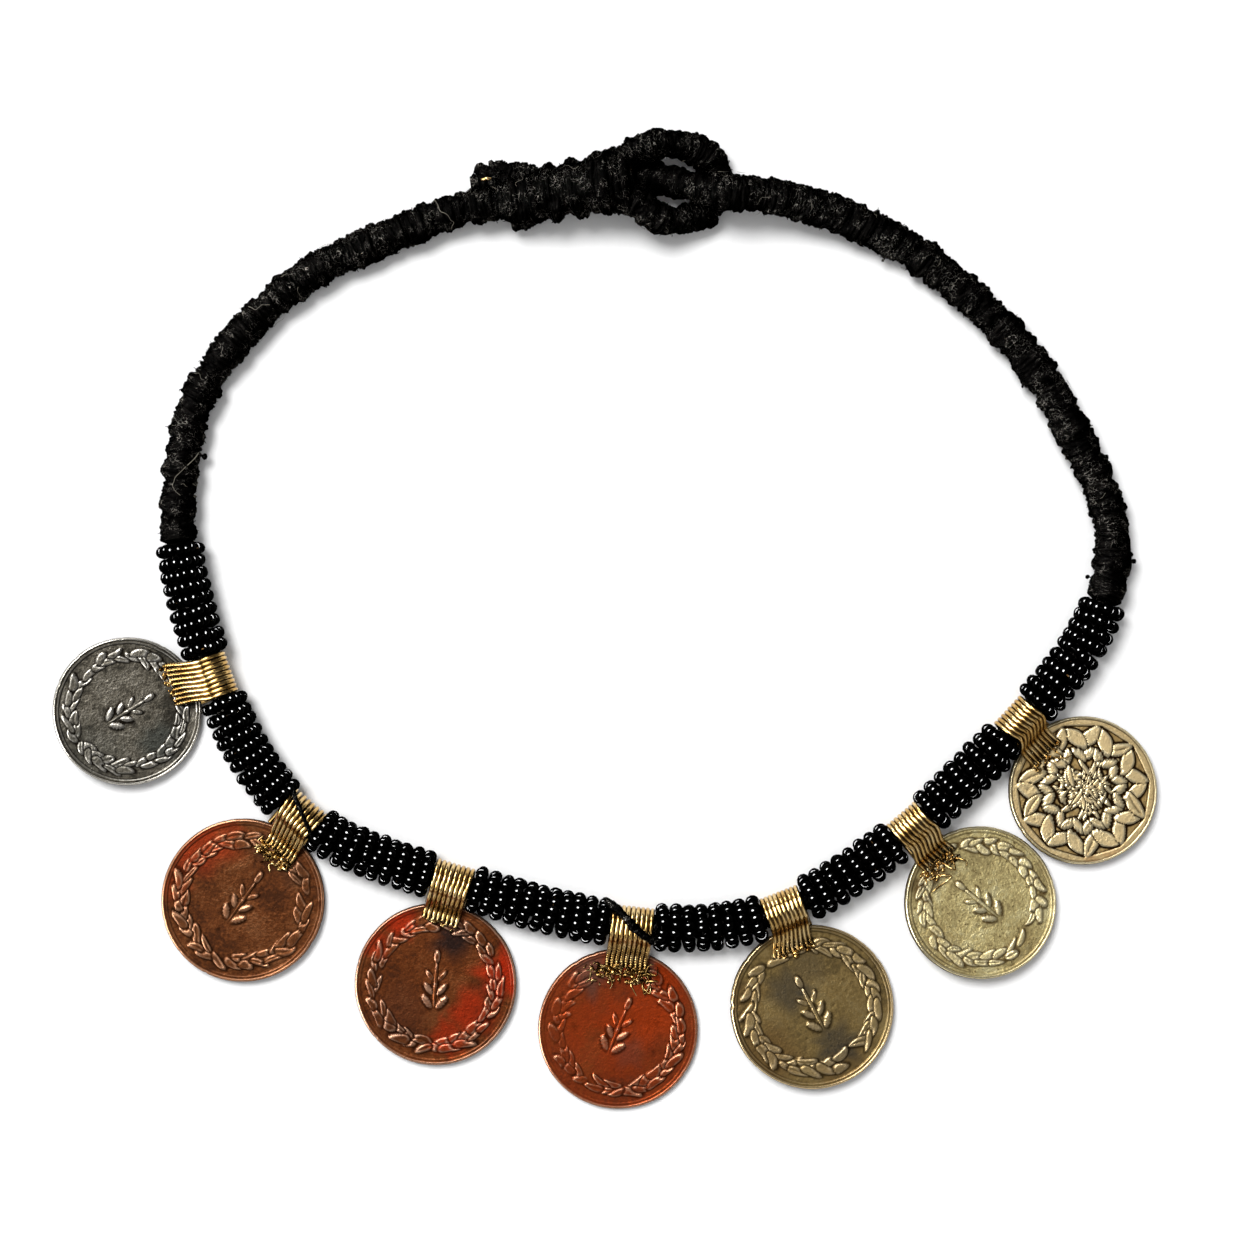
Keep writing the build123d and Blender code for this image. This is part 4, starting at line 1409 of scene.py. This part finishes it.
petals = {
    "rings": ((0.722, 0.42, 0.200), (0.490, 0.27, 0.130)),      # radius, length and width
    "apart": 0.25,                  # of a pair, in petals
    "angleSpread": 0.02,            # radians
    "slant": 48,                    # degrees
    "slantSpread": 4,
    "lengths": (0.92, 1.05),
    "widths": (0.86, 1.05),
    "levels": (0.9, 1.0),
    "groove": 0.012,
    "vein": 0.20,
    "veined": 0.3,
    "rise": 0.04,
    "skew": 0.30,
    "shoulder": 0.014,
    "blunt": 1.5,
}
wavyLine = {
    "radius": 0.895,
    "wave": 0.030,
    "level": 0.62,
    "rise": 0.020,
}
bars = {
    "count": 46,
    "reach": 0.30,
    "leans": [0.6, 2.2, 1.3],       # radians
    "leanSpread": 0.25,
    "lengths": (0.20, 0.38),
    "widths": (0.060, 0.085),
    "levels": (0.8, 1.1),
    "skew": (-2.0, 2.0),
    "groove": 0.012,
    "rise": 0.1,
    "shoulder": 0.016,
}


# Two rings of flat leaf pairs, a wavy line round them, and a tangle of laid bars in the middle.
def petalRelief(across, up, row, generator):
    height = np.zeros_like(across)
    turn = np.radians(row["turn"])
    count = row["petals"]
    swing = np.abs(np.sin((np.arctan2(up, across) - turn) * count / 2))
    beyond = np.hypot(across, up) - (wavyLine["radius"] - wavyLine["wave"] * swing)
    band = wavyLine["level"] * softStep(0.0, wavyLine["rise"], beyond)
    for ring, length, width in petals["rings"]:
        for step in range(count):
            for side in (-1, 1):
                angle = turn + fullTurn * (step + side * petals["apart"]) / count
                angle = angle + generator.normal(0, petals["angleSpread"])
                slant = np.radians(side * petals["slant"] + generator.normal(0, petals["slantSpread"]))
                ownLength = length * generator.uniform(*petals["lengths"])
                ownWidth = width * generator.uniform(*petals["widths"])
                level = generator.uniform(*petals["levels"])
                vein = petals["vein"] * (generator.random() < petals["veined"])
                lean = angle + np.pi / 2 + slant
                height = laidLeaf(height, across, up, onCircle(ring, angle), lean, ownLength, ownWidth, level,
                                  petals["groove"], vein, petals["rise"], side * petals["skew"],
                                  shoulder=petals["shoulder"], blunt=petals["blunt"])
    for bar in range(bars["count"]):
        away = bars["reach"] * np.sqrt(generator.uniform(0, 1))
        middle = onCircle(away, generator.uniform(0, fullTurn))
        lean = generator.choice(bars["leans"]) + generator.normal(0, bars["leanSpread"])
        length = generator.uniform(*bars["lengths"])
        width = generator.uniform(*bars["widths"])
        level = generator.uniform(*bars["levels"])
        skew = generator.uniform(*bars["skew"])
        height = laidLeaf(height, across, up, middle, lean, length, width, level, bars["groove"],
                          rise=bars["rise"], skew=skew, shoulder=bars["shoulder"])
    return np.maximum(height, band)


# A grid of values, each the mean of those up to rowSize rows and columnSize columns away.
def blurred(values, rowSize, columnSize):
    padded = np.concatenate([values[:1].repeat(rowSize, 0), values, values[-1:].repeat(rowSize, 0)])
    total = sum(padded[k:k + len(values)] for k in range(2 * rowSize + 1)) / (2 * rowSize + 1)
    return sum(np.roll(total, k, axis=1) for k in range(-columnSize, columnSize + 1)) / (2 * columnSize + 1)


# The face's relief, and its height at (ring, angle) as relief + rim + lip - groove + dents + slow waves.
def coinFace(row, ring, angles, across, up, rimShare, generator):
    relief = petalRelief if "petals" in row else wreathRelief
    raised = relief(across, up, row, generator)
    count = coin["dents"]
    dentPlaces = [generator.uniform(-0.9, 0.9, count), generator.uniform(-0.9, 0.9, count),
                  generator.uniform(*coin["dentSize"], count), generator.uniform(*coin["dentDepth"], count)]
    dents = sum(depth * np.exp(-((across - x) ** 2 + (up - y) ** 2) / size ** 2)
                for x, y, size, depth in zip(*dentPlaces))
    slow = waves(generator, across + 0.6 * up, 4, 1.6, 0.5)
    slow = (slow + waves(generator, up - 0.4 * across, 4, 1.6, 0.5)) / 2
    rim = softStep(rimShare - 0.018, rimShare - 0.002, ring)[:, None] * np.ones(len(angles))
    rimWave = 1 + coin["rimWave"] * waves(generator, angles, 5, 3.0, 0.7)
    lip, groove = (height * bell(ring - place, width)[:, None] for place, width, height in
                   (coin["lip"], coin["groove"]))
    height = (coin["relief"] * raised + coin["rimHeight"] * rim * row["rim"] * rimWave
              + row["lip"] * rimWave * (lip - groove) + coin["unevenness"] * (dents * (1 - 0.5 * rim) + slow))
    return raised, height


# The outline as a share of the radius at each angle: nearly round, with some nicks.
def coinOutline(angles, generator):
    count = coin["nicks"]
    nickPlaces = [generator.uniform(0, fullTurn, count), generator.uniform(*coin["nickSize"], count),
                  generator.uniform(*coin["nickDepth"], count)]
    nicks = sum(depth * bell(np.abs(angles - place) % fullTurn, size)
                for place, size, depth in zip(*nickPlaces))
    return 1 + coin["outOfRound"] * waves(generator, angles, 6, 2.5, 0.4) - nicks


# How strongly a stain shows at each place: most in its middle, with a wavy edge.
def stained(across, up, spots, generator):
    stain = np.zeros_like(across)
    for x, y, size, strength in spots:
        away = np.hypot(across - x, up - y) / size
        away = away * (1 + coin["stainWave"] * waves(generator, np.arctan2(up - y, across - x), 4, 2.5, 0.6))
        stain = np.maximum(stain, strength * (1 - softStep(*coin["stainFade"], away)))
    return stain


# The coin as one profile turned round: the face, a bevel, the side, and a plain back with a rim.
def coinShape(number, row, middle, normal, radius):
    generator = np.random.default_rng(seeds["coins"] + number)
    columns = coin["columns"]
    angles = anglesRound(columns)
    level = np.zeros(columns)
    rimShare = 1 - coin["rimWidth"] / radius
    ring = np.concatenate([np.linspace(*stretch) for stretch in coin["rings"]])
    across = ring[:, None] * np.cos(angles)
    up = ring[:, None] * np.sin(angles)
    raised, height = coinFace(row, ring, angles, across, up, rimShare, generator)
    outline = coinOutline(angles, generator)

    drop = np.array(coin["bevelDrop"])[:, None] * mm
    bevelHeights = coin["thickness"] + height[-1:] * (1 - drop / drop[-1]) - drop
    sideRing, sideHeights = np.array(coin["side"]).T
    backRing = np.linspace(1, ring[0], 8)
    backRing[1] = rimShare + 0.01
    backRing[2] = rimShare - 0.03
    backHeights = np.where(backRing < rimShare - 0.02, coin["backHollow"], 0.0)
    profileRing = np.concatenate([ring, coin["bevel"], sideRing, backRing * coin["back"]])
    lift = np.concatenate([coin["thickness"] + height, bevelHeights, sideHeights[:, None] + level,
                           backHeights[:, None] + level])
    rightward = unit(np.cross(np.array([0, 1, 0]), normal))
    uneven = (outline - 1) * softStep(0.88, 0.97, profileRing)[:, None]      # only near the edge
    outRadius = profileRing[:, None] * radius * (1 + uneven)
    outwards = directionsRound(angles, rightward[None], np.cross(normal, rightward)[None])
    points = middle + outRadius[..., None] * outwards + lift[..., None] * normal

    rows = len(profileRing)
    extra = rows - len(ring)
    # Dirt and painted shade darken the hollows beside the relief, and painted shade darkens the bevel and the
    # side.
    cavity = (blurred(height, 2, 3) - height) / mm / coin["hollow"]
    lipEdge = 0.85 * row["lip"] * softStep(0.966, 0.980, ring)[:, None]
    faceEdge = row["shine"] * np.clip(-cavity - 0.35, 0, 1) + lipEdge

    def belowFace(values):
        return np.concatenate([values, np.zeros(extra - len(values))])[:, None] + level

    bevelEdge = (0.25 + 0.7 * row["lip"]) * np.array(coin["bevelBright"])
    attributes = {
        "dirtAndShade": np.concatenate([row["ink"] * np.clip(cavity, 0, 1), belowFace(coin["edgeShade"])]),
        "top": np.concatenate([np.clip(raised, 0, 1), belowFace([])]),
        "edge": np.clip(np.concatenate([faceEdge, belowFace(bevelEdge)]), 0, 1),
    }
    for kind, spots in stainTable[row["finish"]].items():
        attributes[kind] = np.concatenate([stained(across, up, spots, generator), belowFace([])])
    return aboveTable(points.reshape(-1, 3), 0.0), tubeFaces(rows, columns), attributes


def touchAngle(point, radius, side):
    return np.arctan2(point[1], point[0]) + side * np.arccos(radius / np.hypot(*point))


# The wires' middle line in the plane square to the cord: leg on the coin, over the cord, round and back below.
def bailLine(row, hook, square, middle, normal, radius):
    ringRadius = cords["coreGirth"] / 2 + bail["clearance"] + bail["wire"] / 2
    legEnd = bail["reach"] - ringRadius - bail["wire"] / 2
    nearEdge = row["reach"] * coin["sleeveGirth"] / 2
    faceMiddle = middle + normal * coin["thickness"]

    def faceHeight(out):
        away = hook + square * out - faceMiddle
        return faceMiddle[2] - (normal[0] * away[0] + normal[1] * away[1]) / normal[2] - hook[2]

    def towards(start, end):
        return start + (end - start) * min(bail["bendShare"], bail["bend"] / np.linalg.norm(end - start))

    landing = nearEdge + row["landing"] * 2 * radius + coin["rimWidth"]
    legHeight = bail["wire"] / 2 - bail["sink"]
    tip = np.array([legEnd, faceHeight(legEnd) + legHeight])
    bend = np.array([landing, faceHeight(landing) + legHeight])
    underOut = nearEdge + bail["wire"]
    under = np.array([underOut, faceHeight(underOut) - coin["thickness"] / 2])
    over = touchAngle(bend, ringRadius, 1)
    below = touchAngle(under, ringRadius, -1) + fullTurn
    turning = np.linspace(over, below, bail["turnSteps"])
    circle = ringRadius * np.column_stack([np.cos(turning), np.sin(turning)])
    corner = np.linspace(0, 1, bail["bendSteps"])[:, None]
    before = towards(bend, tip)
    after = towards(bend, circle[0])
    rounded = (1 - corner) ** 2 * before + 2 * corner * (1 - corner) * bend + corner ** 2 * after
    return np.concatenate([[tip], rounded, circle, [under]])


# Wires side by side: each a tube whose radius wavers, beaded towards the solder.  They share the kinks.
def bailShape(number, row, outline, hook, along, square):
    generator = np.random.default_rng(seeds["bails"] + number)
    line = lineThrough(outline)
    end = line["lengths"][-1]
    step = bail["beadedStep"] if row["beaded"] > bail["beadedFrom"] else bail["step"]
    stations = np.linspace(0, end, int(end / step) + 1)
    middle = placesOn(line, stations)
    tangent = unit(np.gradient(middle, axis=0))
    angles = anglesRound(bail["sides"])
    near, over, far = row["fan"]
    spread = np.interp(stations / mm, bail["fanAt"], (near, over, over, far))
    beaded = np.exp(-(stations / (row["beaded"] * mm)) ** 4)
    atEnd = bell(stations, mm)

    def bent(places, width):
        return sum(height * mm * bell(stations - place * mm, width) for place, height in places)

    shared = bail["shared"] * waves(generator, stations, 3, 7 * mm, 3 * mm)
    shared = shared + bent(row["kinks"], bail["kinkWidth"])
    shiftedTip = row["tip"] * mm * (1 - softStep(0, bail["tipRun"], stations))
    sway = shiftedTip + bent(row["sway"], bail["swayWidth"])
    shapes = []
    grimeAndShadeLists = []
    for wire in range(row["wires"]):
        aside = (wire - (row["wires"] - 1) / 2) * bail["pitch"] * spread + sway
        waver = waves(generator, stations, 3, 9 * mm, 4 * mm) * bail["waver"]
        lift = shared + waves(generator, stations, 3, 6 * mm, 3 * mm) * bail["lift"]
        start = np.searchsorted(stations, generator.uniform(0, bail["uneven"]) * mm)
        rough = 1 + bail["grain"] * waves(generator, stations, 4, 1.6 * mm, 0.7 * mm)
        knurls = np.sin(fullTurn * stations / bail["beadedPitch"] + generator.uniform(0, 6))
        swell = bail["thinner"] * rough + bail["beadedRise"] * beaded * knurls
        radius = (bail["wire"] / 2 * swell)[start:, None]
        out = tangent[start:, 1:] * square - tangent[start:, :1] * upward
        centre = (hook + middle[start:, :1] * square + middle[start:, 1:] * upward
                  + (aside + waver)[start:, None] * along + lift[start:, None] * out)
        points = centre[:, None] + radius[..., None] * directionsRound(angles, out, along[None])
        shapes.append((points.reshape(-1, 3), tubeFaces(len(centre), bail["sides"])))
        # Painted shade on each wire's sides, where it meets its neighbours, narrower further from the leg's end;
        # grime on the beaded part and at the end, towards the solder.
        sharpness = np.interp(stations[start:] / mm, (2, 6), (0.9, 1.6))[:, None]
        between = np.abs(np.sin(angles))[None, :] ** sharpness
        grimeAndShadeLists.append(np.clip(between + (0.30 * beaded + 0.50 * atEnd)[start:, None], 0, 1).ravel())
    points, faces = joined(shapes)
    return aboveTable(points), faces, np.concatenate(grimeAndShadeLists)


solderDraws = {
    "out": (1.3, 2.2),              # of the beta distribution of how far down the coin a lump is
    "outFrom": 0.7,                 # mm up the leg
    "outPast": 0.9,
    "lift": (-0.35, 0.20),          # mm
    "size": (0.16, 0.50),
    "curl": (0.9, 2.3),
    "curlThickness": 0.42 * mm,
    "curled": 1.2,
    "flattened": 0.85,              # how far a curl lies along the coin
    "steps": 10,
    "sides": 6,
    "grimeAndShade": (0.70, 0.28),
}


# Lumps and curled ends of wire at the end of a leg, in random places round its tip.
def solderShape(number, tip, along, down, normal):
    generator = np.random.default_rng(seeds["solder"] + number)
    draws = solderDraws
    solder = solderTable[number - 1]
    lumps = solder["lumps"]
    curls = solder["curls"]
    total = lumps + curls
    asides = generator.uniform(-1, 1, total) * solder["half"] * mm
    reach = solder["reach"] + draws["outPast"]
    outs = (generator.beta(*draws["out"], total) * reach - draws["outFrom"]) * mm
    lifts = generator.uniform(*draws["lift"], total) * mm
    places = tip + asides[:, None] * along + outs[:, None] * down + lifts[:, None] * normal
    shapes = [grainShape(places[:lumps], generator.uniform(*draws["size"], lumps) * mm, generator)]
    if curls:
        flat = generator.normal(size=(curls, 3))
        flat = flat - (flat @ normal)[:, None] * normal * draws["flattened"]
        lengths = generator.uniform(*draws["curl"], curls) * mm
        shapes.append(hairShape(places[lumps:], flat, lengths, draws["curlThickness"], generator,
                                draws["curled"], draws["steps"], draws["sides"]))
    grimeAndShade = np.clip(generator.normal(*draws["grimeAndShade"], total), 0, 1)
    pointsOf = [grainBall["rows"] * grainBall["columns"], draws["steps"] * draws["sides"]]
    each = np.repeat(pointsOf, [lumps, curls])
    return *joined(shapes), np.repeat(grimeAndShade, each)


giltWire = goldMaterial()
coinMaterials = {name: coinMaterial("coin_" + name, {**coinColours[name], **coinFinishes[name]})
                 for name in coinFinishes}
wireBit = {
    "points": [[(-17.9, 69.9, 8.1), (-18.6, 70.0, 8.2), (-19.4, 69.8, 8.0)]],       # mm
    "thickness": 0.55 * mm,
    "taper": 0.3,
    "sides": 8,
}
bitPoints, bitFaces = thinTubes(np.array(wireBit["points"]) * mm, wireBit["thickness"], wireBit["taper"],
                                wireBit["sides"])
addPiece("binding_wire_end", bitPoints, bitFaces, giltWire, (), {"grimeAndShade": np.zeros(len(bitPoints))})
hooks = []
for number, row in enumerate(coinTable, 1):
    node = f"coin_pendant_{number}"
    middle, normal, radius = lowestDisc(node)
    place = (cords["beadsStart"] + row["share"] * cords["beadsLength"]) * lineShare
    (hook,), (along,), (square,), _ = framesOn(routeLine, [place])
    hooks.append((hook, along, square))
    points, faces, attributes = coinShape(number, row, middle, normal, radius)
    addPiece(f"coin_{number}", points, faces, coinMaterials[row["finish"]], [node], attributes)
    outline = bailLine(row, hook, square, middle, normal, radius)
    points, faces, grimeAndShade = bailShape(number, row, outline, hook, along, square)
    addPiece(f"bail_{number}", points, faces, giltWire, [node], {"grimeAndShade": grimeAndShade})
    shift = (solderTable[number - 1]["shift"] + row["tip"]) * mm
    tip = hook + outline[0][0] * square + outline[0][1] * upward + shift * along
    down = unit(square - normal * (square @ normal))
    points, faces, grimeAndShade = solderShape(number, tip, along, down, normal)
    addPiece(f"solder_{number}", points, faces, giltWire, (), {"grimeAndShade": grimeAndShade})

# Black strands sewn over two of the bails: which bail, its path as (mm along the cord, degrees round it from
# the coin's side over the top), and girth in mm.
overStrands = [
    {"bail": 2, "girth": 0.95,
     "path": [(-4.4, 150), (-3.4, 134), (-1.2, 112), (1.0, 94), (2.6, 82), (4.3, 66)]},
    {"bail": 4, "girth": 1.70,
     "path": [(-4.6, 160), (-3.5, 141), (-1.6, 119), (0.4, 90), (2.1, 68), (4.6, 56)]},
]
strandColumns = 16
for row in overStrands:
    hook, along, square = hooks[row["bail"] - 1]
    girth = row["girth"] * mm
    radius = cords["coreGirth"] / 2 + bail["clearance"] + bail["wire"] + girth / 2
    away, turn = np.array(row["path"]).T
    turn = np.radians(turn)[:, None]
    strandPath = hook + away[:, None] * mm * along + radius * (np.cos(turn) * square + np.sin(turn) * upward)
    strandLine = readLine("overStrand", strandPath)
    points, faces, marks, _ = woundSurface(strandLine, 0.0, strandLine["lengths"][-1], girth,
                                           seeds["strands"] + row["bail"], strandColumns)
    addPiece(f"bail_{row['bail']}_strand", points, faces, blackThread, (), marks)
print("coins and bails")


# Seed beads, sewn in rings between the bails

beads = {
    "rowPitch": (1.94 * mm, 2.08 * mm),     # in the two tidy sleeves and in the others
    "perRow": (16, 15),
    "rowShift": ((0.25, 0.08), (0.5, 0.22)),        # from row to row, in beads: mean and spread
    "tidy": 2,
    "girth": 7.9 * mm,
    "fill": 0.98,                           # across a bead, as a share of the distance between rows
    "long": 0.99,                           # along it, as a share of the distance between beads
    "endGap": 0.12 * mm,
    "angleSpread": 0.035,
    "slipSpread": 0.09 * mm,
    "slipWave": 0.10 * mm,
    "outSpread": (-0.02, 0.05),             # mm
    "tiltSpread": 0.10,
    "sizeSpread": 0.045,
    # A bead's section, round from its outside: degrees, and radius as a share of the bead's.
    "section": ((0, 1.0), (45, 0.90), (88, 0.62), (180, 0.26), (272, 0.62), (315, 0.90)),
    "square": 0.85,
    "around": 12,
    "threadGirth": 0.22 * mm,
    "threadSides": 4,
    "threadSteps": 28,
}


# One bead about the X axis: a ring whose section is an oval, squared off so that its side is nearly straight.
def beadPoints(wide, long):
    turned = anglesRound(beads["around"])
    degrees, shares = np.array(beads["section"]).T
    section = np.radians(degrees)
    ring = 0.5 * wide * shares[:, None]
    lengthwise = 0.5 * long * np.sign(np.sin(section)) * np.abs(np.sin(section)) ** beads["square"]
    return np.stack([lengthwise[:, None] * np.ones(beads["around"]), ring * np.cos(turned),
                     ring * np.sin(turned)], -1).reshape(-1, 3)


# Rings of beads strung round the core: every bead's hole lies along its ring.  Also returns the rings' places
# along the cord and their radius.
def sleeveBeads(number, start, end):
    generator = np.random.default_rng(seeds["beads"] + number)
    kind = 0 if number <= beads["tidy"] else 1
    rows = max(1, round((end - start) / lineShare / beads["rowPitch"][kind]))
    pitch = (end - start) / rows
    stations = start + pitch * (np.arange(rows) + 0.5)
    count = beads["perRow"][kind]
    phases = np.cumsum(generator.normal(*beads["rowShift"][kind], rows)) * fullTurn / count
    angles = phases[:, None] + anglesRound(count)[None, :]
    angles = angles + generator.normal(0, beads["angleSpread"], angles.shape)
    slipped = stations[:, None] + generator.normal(0, beads["slipSpread"], angles.shape)
    slipped = slipped + beads["slipWave"] * np.sin(angles + generator.uniform(0, 6, (rows, 1)))
    points, tangents, sides, ups = framesOn(routeLine, slipped.ravel())
    total = len(points)
    turned = angles.ravel()[:, None]
    outs = np.cos(turned) * sides + np.sin(turned) * ups
    rounds = -np.sin(turned) * sides + np.cos(turned) * ups
    wide = pitch * beads["fill"]
    orbit = beads["girth"] / 2 - wide / 2
    centres = points + outs * (orbit + generator.normal(*beads["outSpread"], (total, 1)) * mm)
    tilt = generator.normal(0, beads["tiltSpread"], (total, 2, 1))
    axisX = unit(rounds + tilt[:, 0] * tangents + tilt[:, 1] * outs)
    axisY = unit(np.cross(axisX, tangents))
    axes = np.stack([axisX, axisY, np.cross(axisX, axisY)], 1)
    shape = beadPoints(wide, fullTurn * orbit / count * beads["long"])
    local = shape[None] * generator.normal(1.0, beads["sizeSpread"], (total, 1, 3))
    placed = centres[:, None] + sum(local[..., k:k + 1] * axes[:, k:k + 1] for k in range(3))
    ring = gridQuads(len(beads["section"]), beads["around"], ring=True)[:, [0, 3, 2, 1]]      # turned outwards
    tone = np.repeat(generator.random(total), len(shape))
    return aboveTable(placed.reshape(-1, 3)), repeated(len(shape), [ring], total), tone, stations, orbit


# The threads that the beads are strung on: thin hoops round the core, each a closed ring.
def hoopShape(stations, radius):
    middles, tangents, sides, ups = framesOn(routeLine, stations)
    steps = beads["threadSteps"]
    corners = anglesRound(beads["threadSides"])[:, None]
    thick = beads["threadGirth"] / 2
    hoop = directionsRound(anglesRound(steps), sides, ups)[:, :, None]
    points = (middles[:, None, None] + hoop * (radius + thick * np.cos(corners))
              + tangents[:, None, None] * thick * np.sin(corners))
    ring = gridQuads(steps, beads["threadSides"], ring=True)
    return aboveTable(points.reshape(-1, 3)), repeated(steps * beads["threadSides"], [ring], len(stations))


blackGlass = beadMaterial()
sewingThread = sewingMaterial()
beadsEnd = cords["beadsStart"] + cords["beadsLength"]
bailPlaces = [cords["beadsStart"] + row["share"] * cords["beadsLength"] for row in coinTable]
bailHalves = [((row["wires"] - 1) * bail["pitch"] + bail["wire"]) / 2 + bail["sideGap"] for row in coinTable]
sleeveStarts = [cords["beadsStart"] + beads["endGap"]] + [s + h for s, h in zip(bailPlaces, bailHalves)]
sleeveEnds = [s - h for s, h in zip(bailPlaces, bailHalves)] + [beadsEnd - beads["endGap"]]
for number, (start, end) in enumerate(zip(sleeveStarts, sleeveEnds), 1):
    points, faces, tone, stations, orbit = sleeveBeads(number, start * lineShare, end * lineShare)
    addPiece(f"beads_{number}", points, faces, blackGlass, [f"bead_sleeve_{number}"], {"tone": tone})
    addPiece(f"bead_thread_{number}", *hoopShape(stations, orbit), sewingThread)
print("seed beads")

# The glint lights the glass alone, two lamps the wires alone, and three all but the glass.
byFinish = {}
for piece in bpy.context.scene.objects:
    if piece.type == "MESH" and piece.data.materials and piece is not table:
        byFinish.setdefault(piece.data.materials[0].name, []).append(piece)
lampFor(lamps["glint"], byFinish["blackGlass"])
for name in ("over", "low"):
    lampFor(lamps[name], byFinish["giltWire"])
for name in ("key", "left", "top"):
    lampFor(lamps[name], byFinish["blackGlass"], "EXCLUDE")
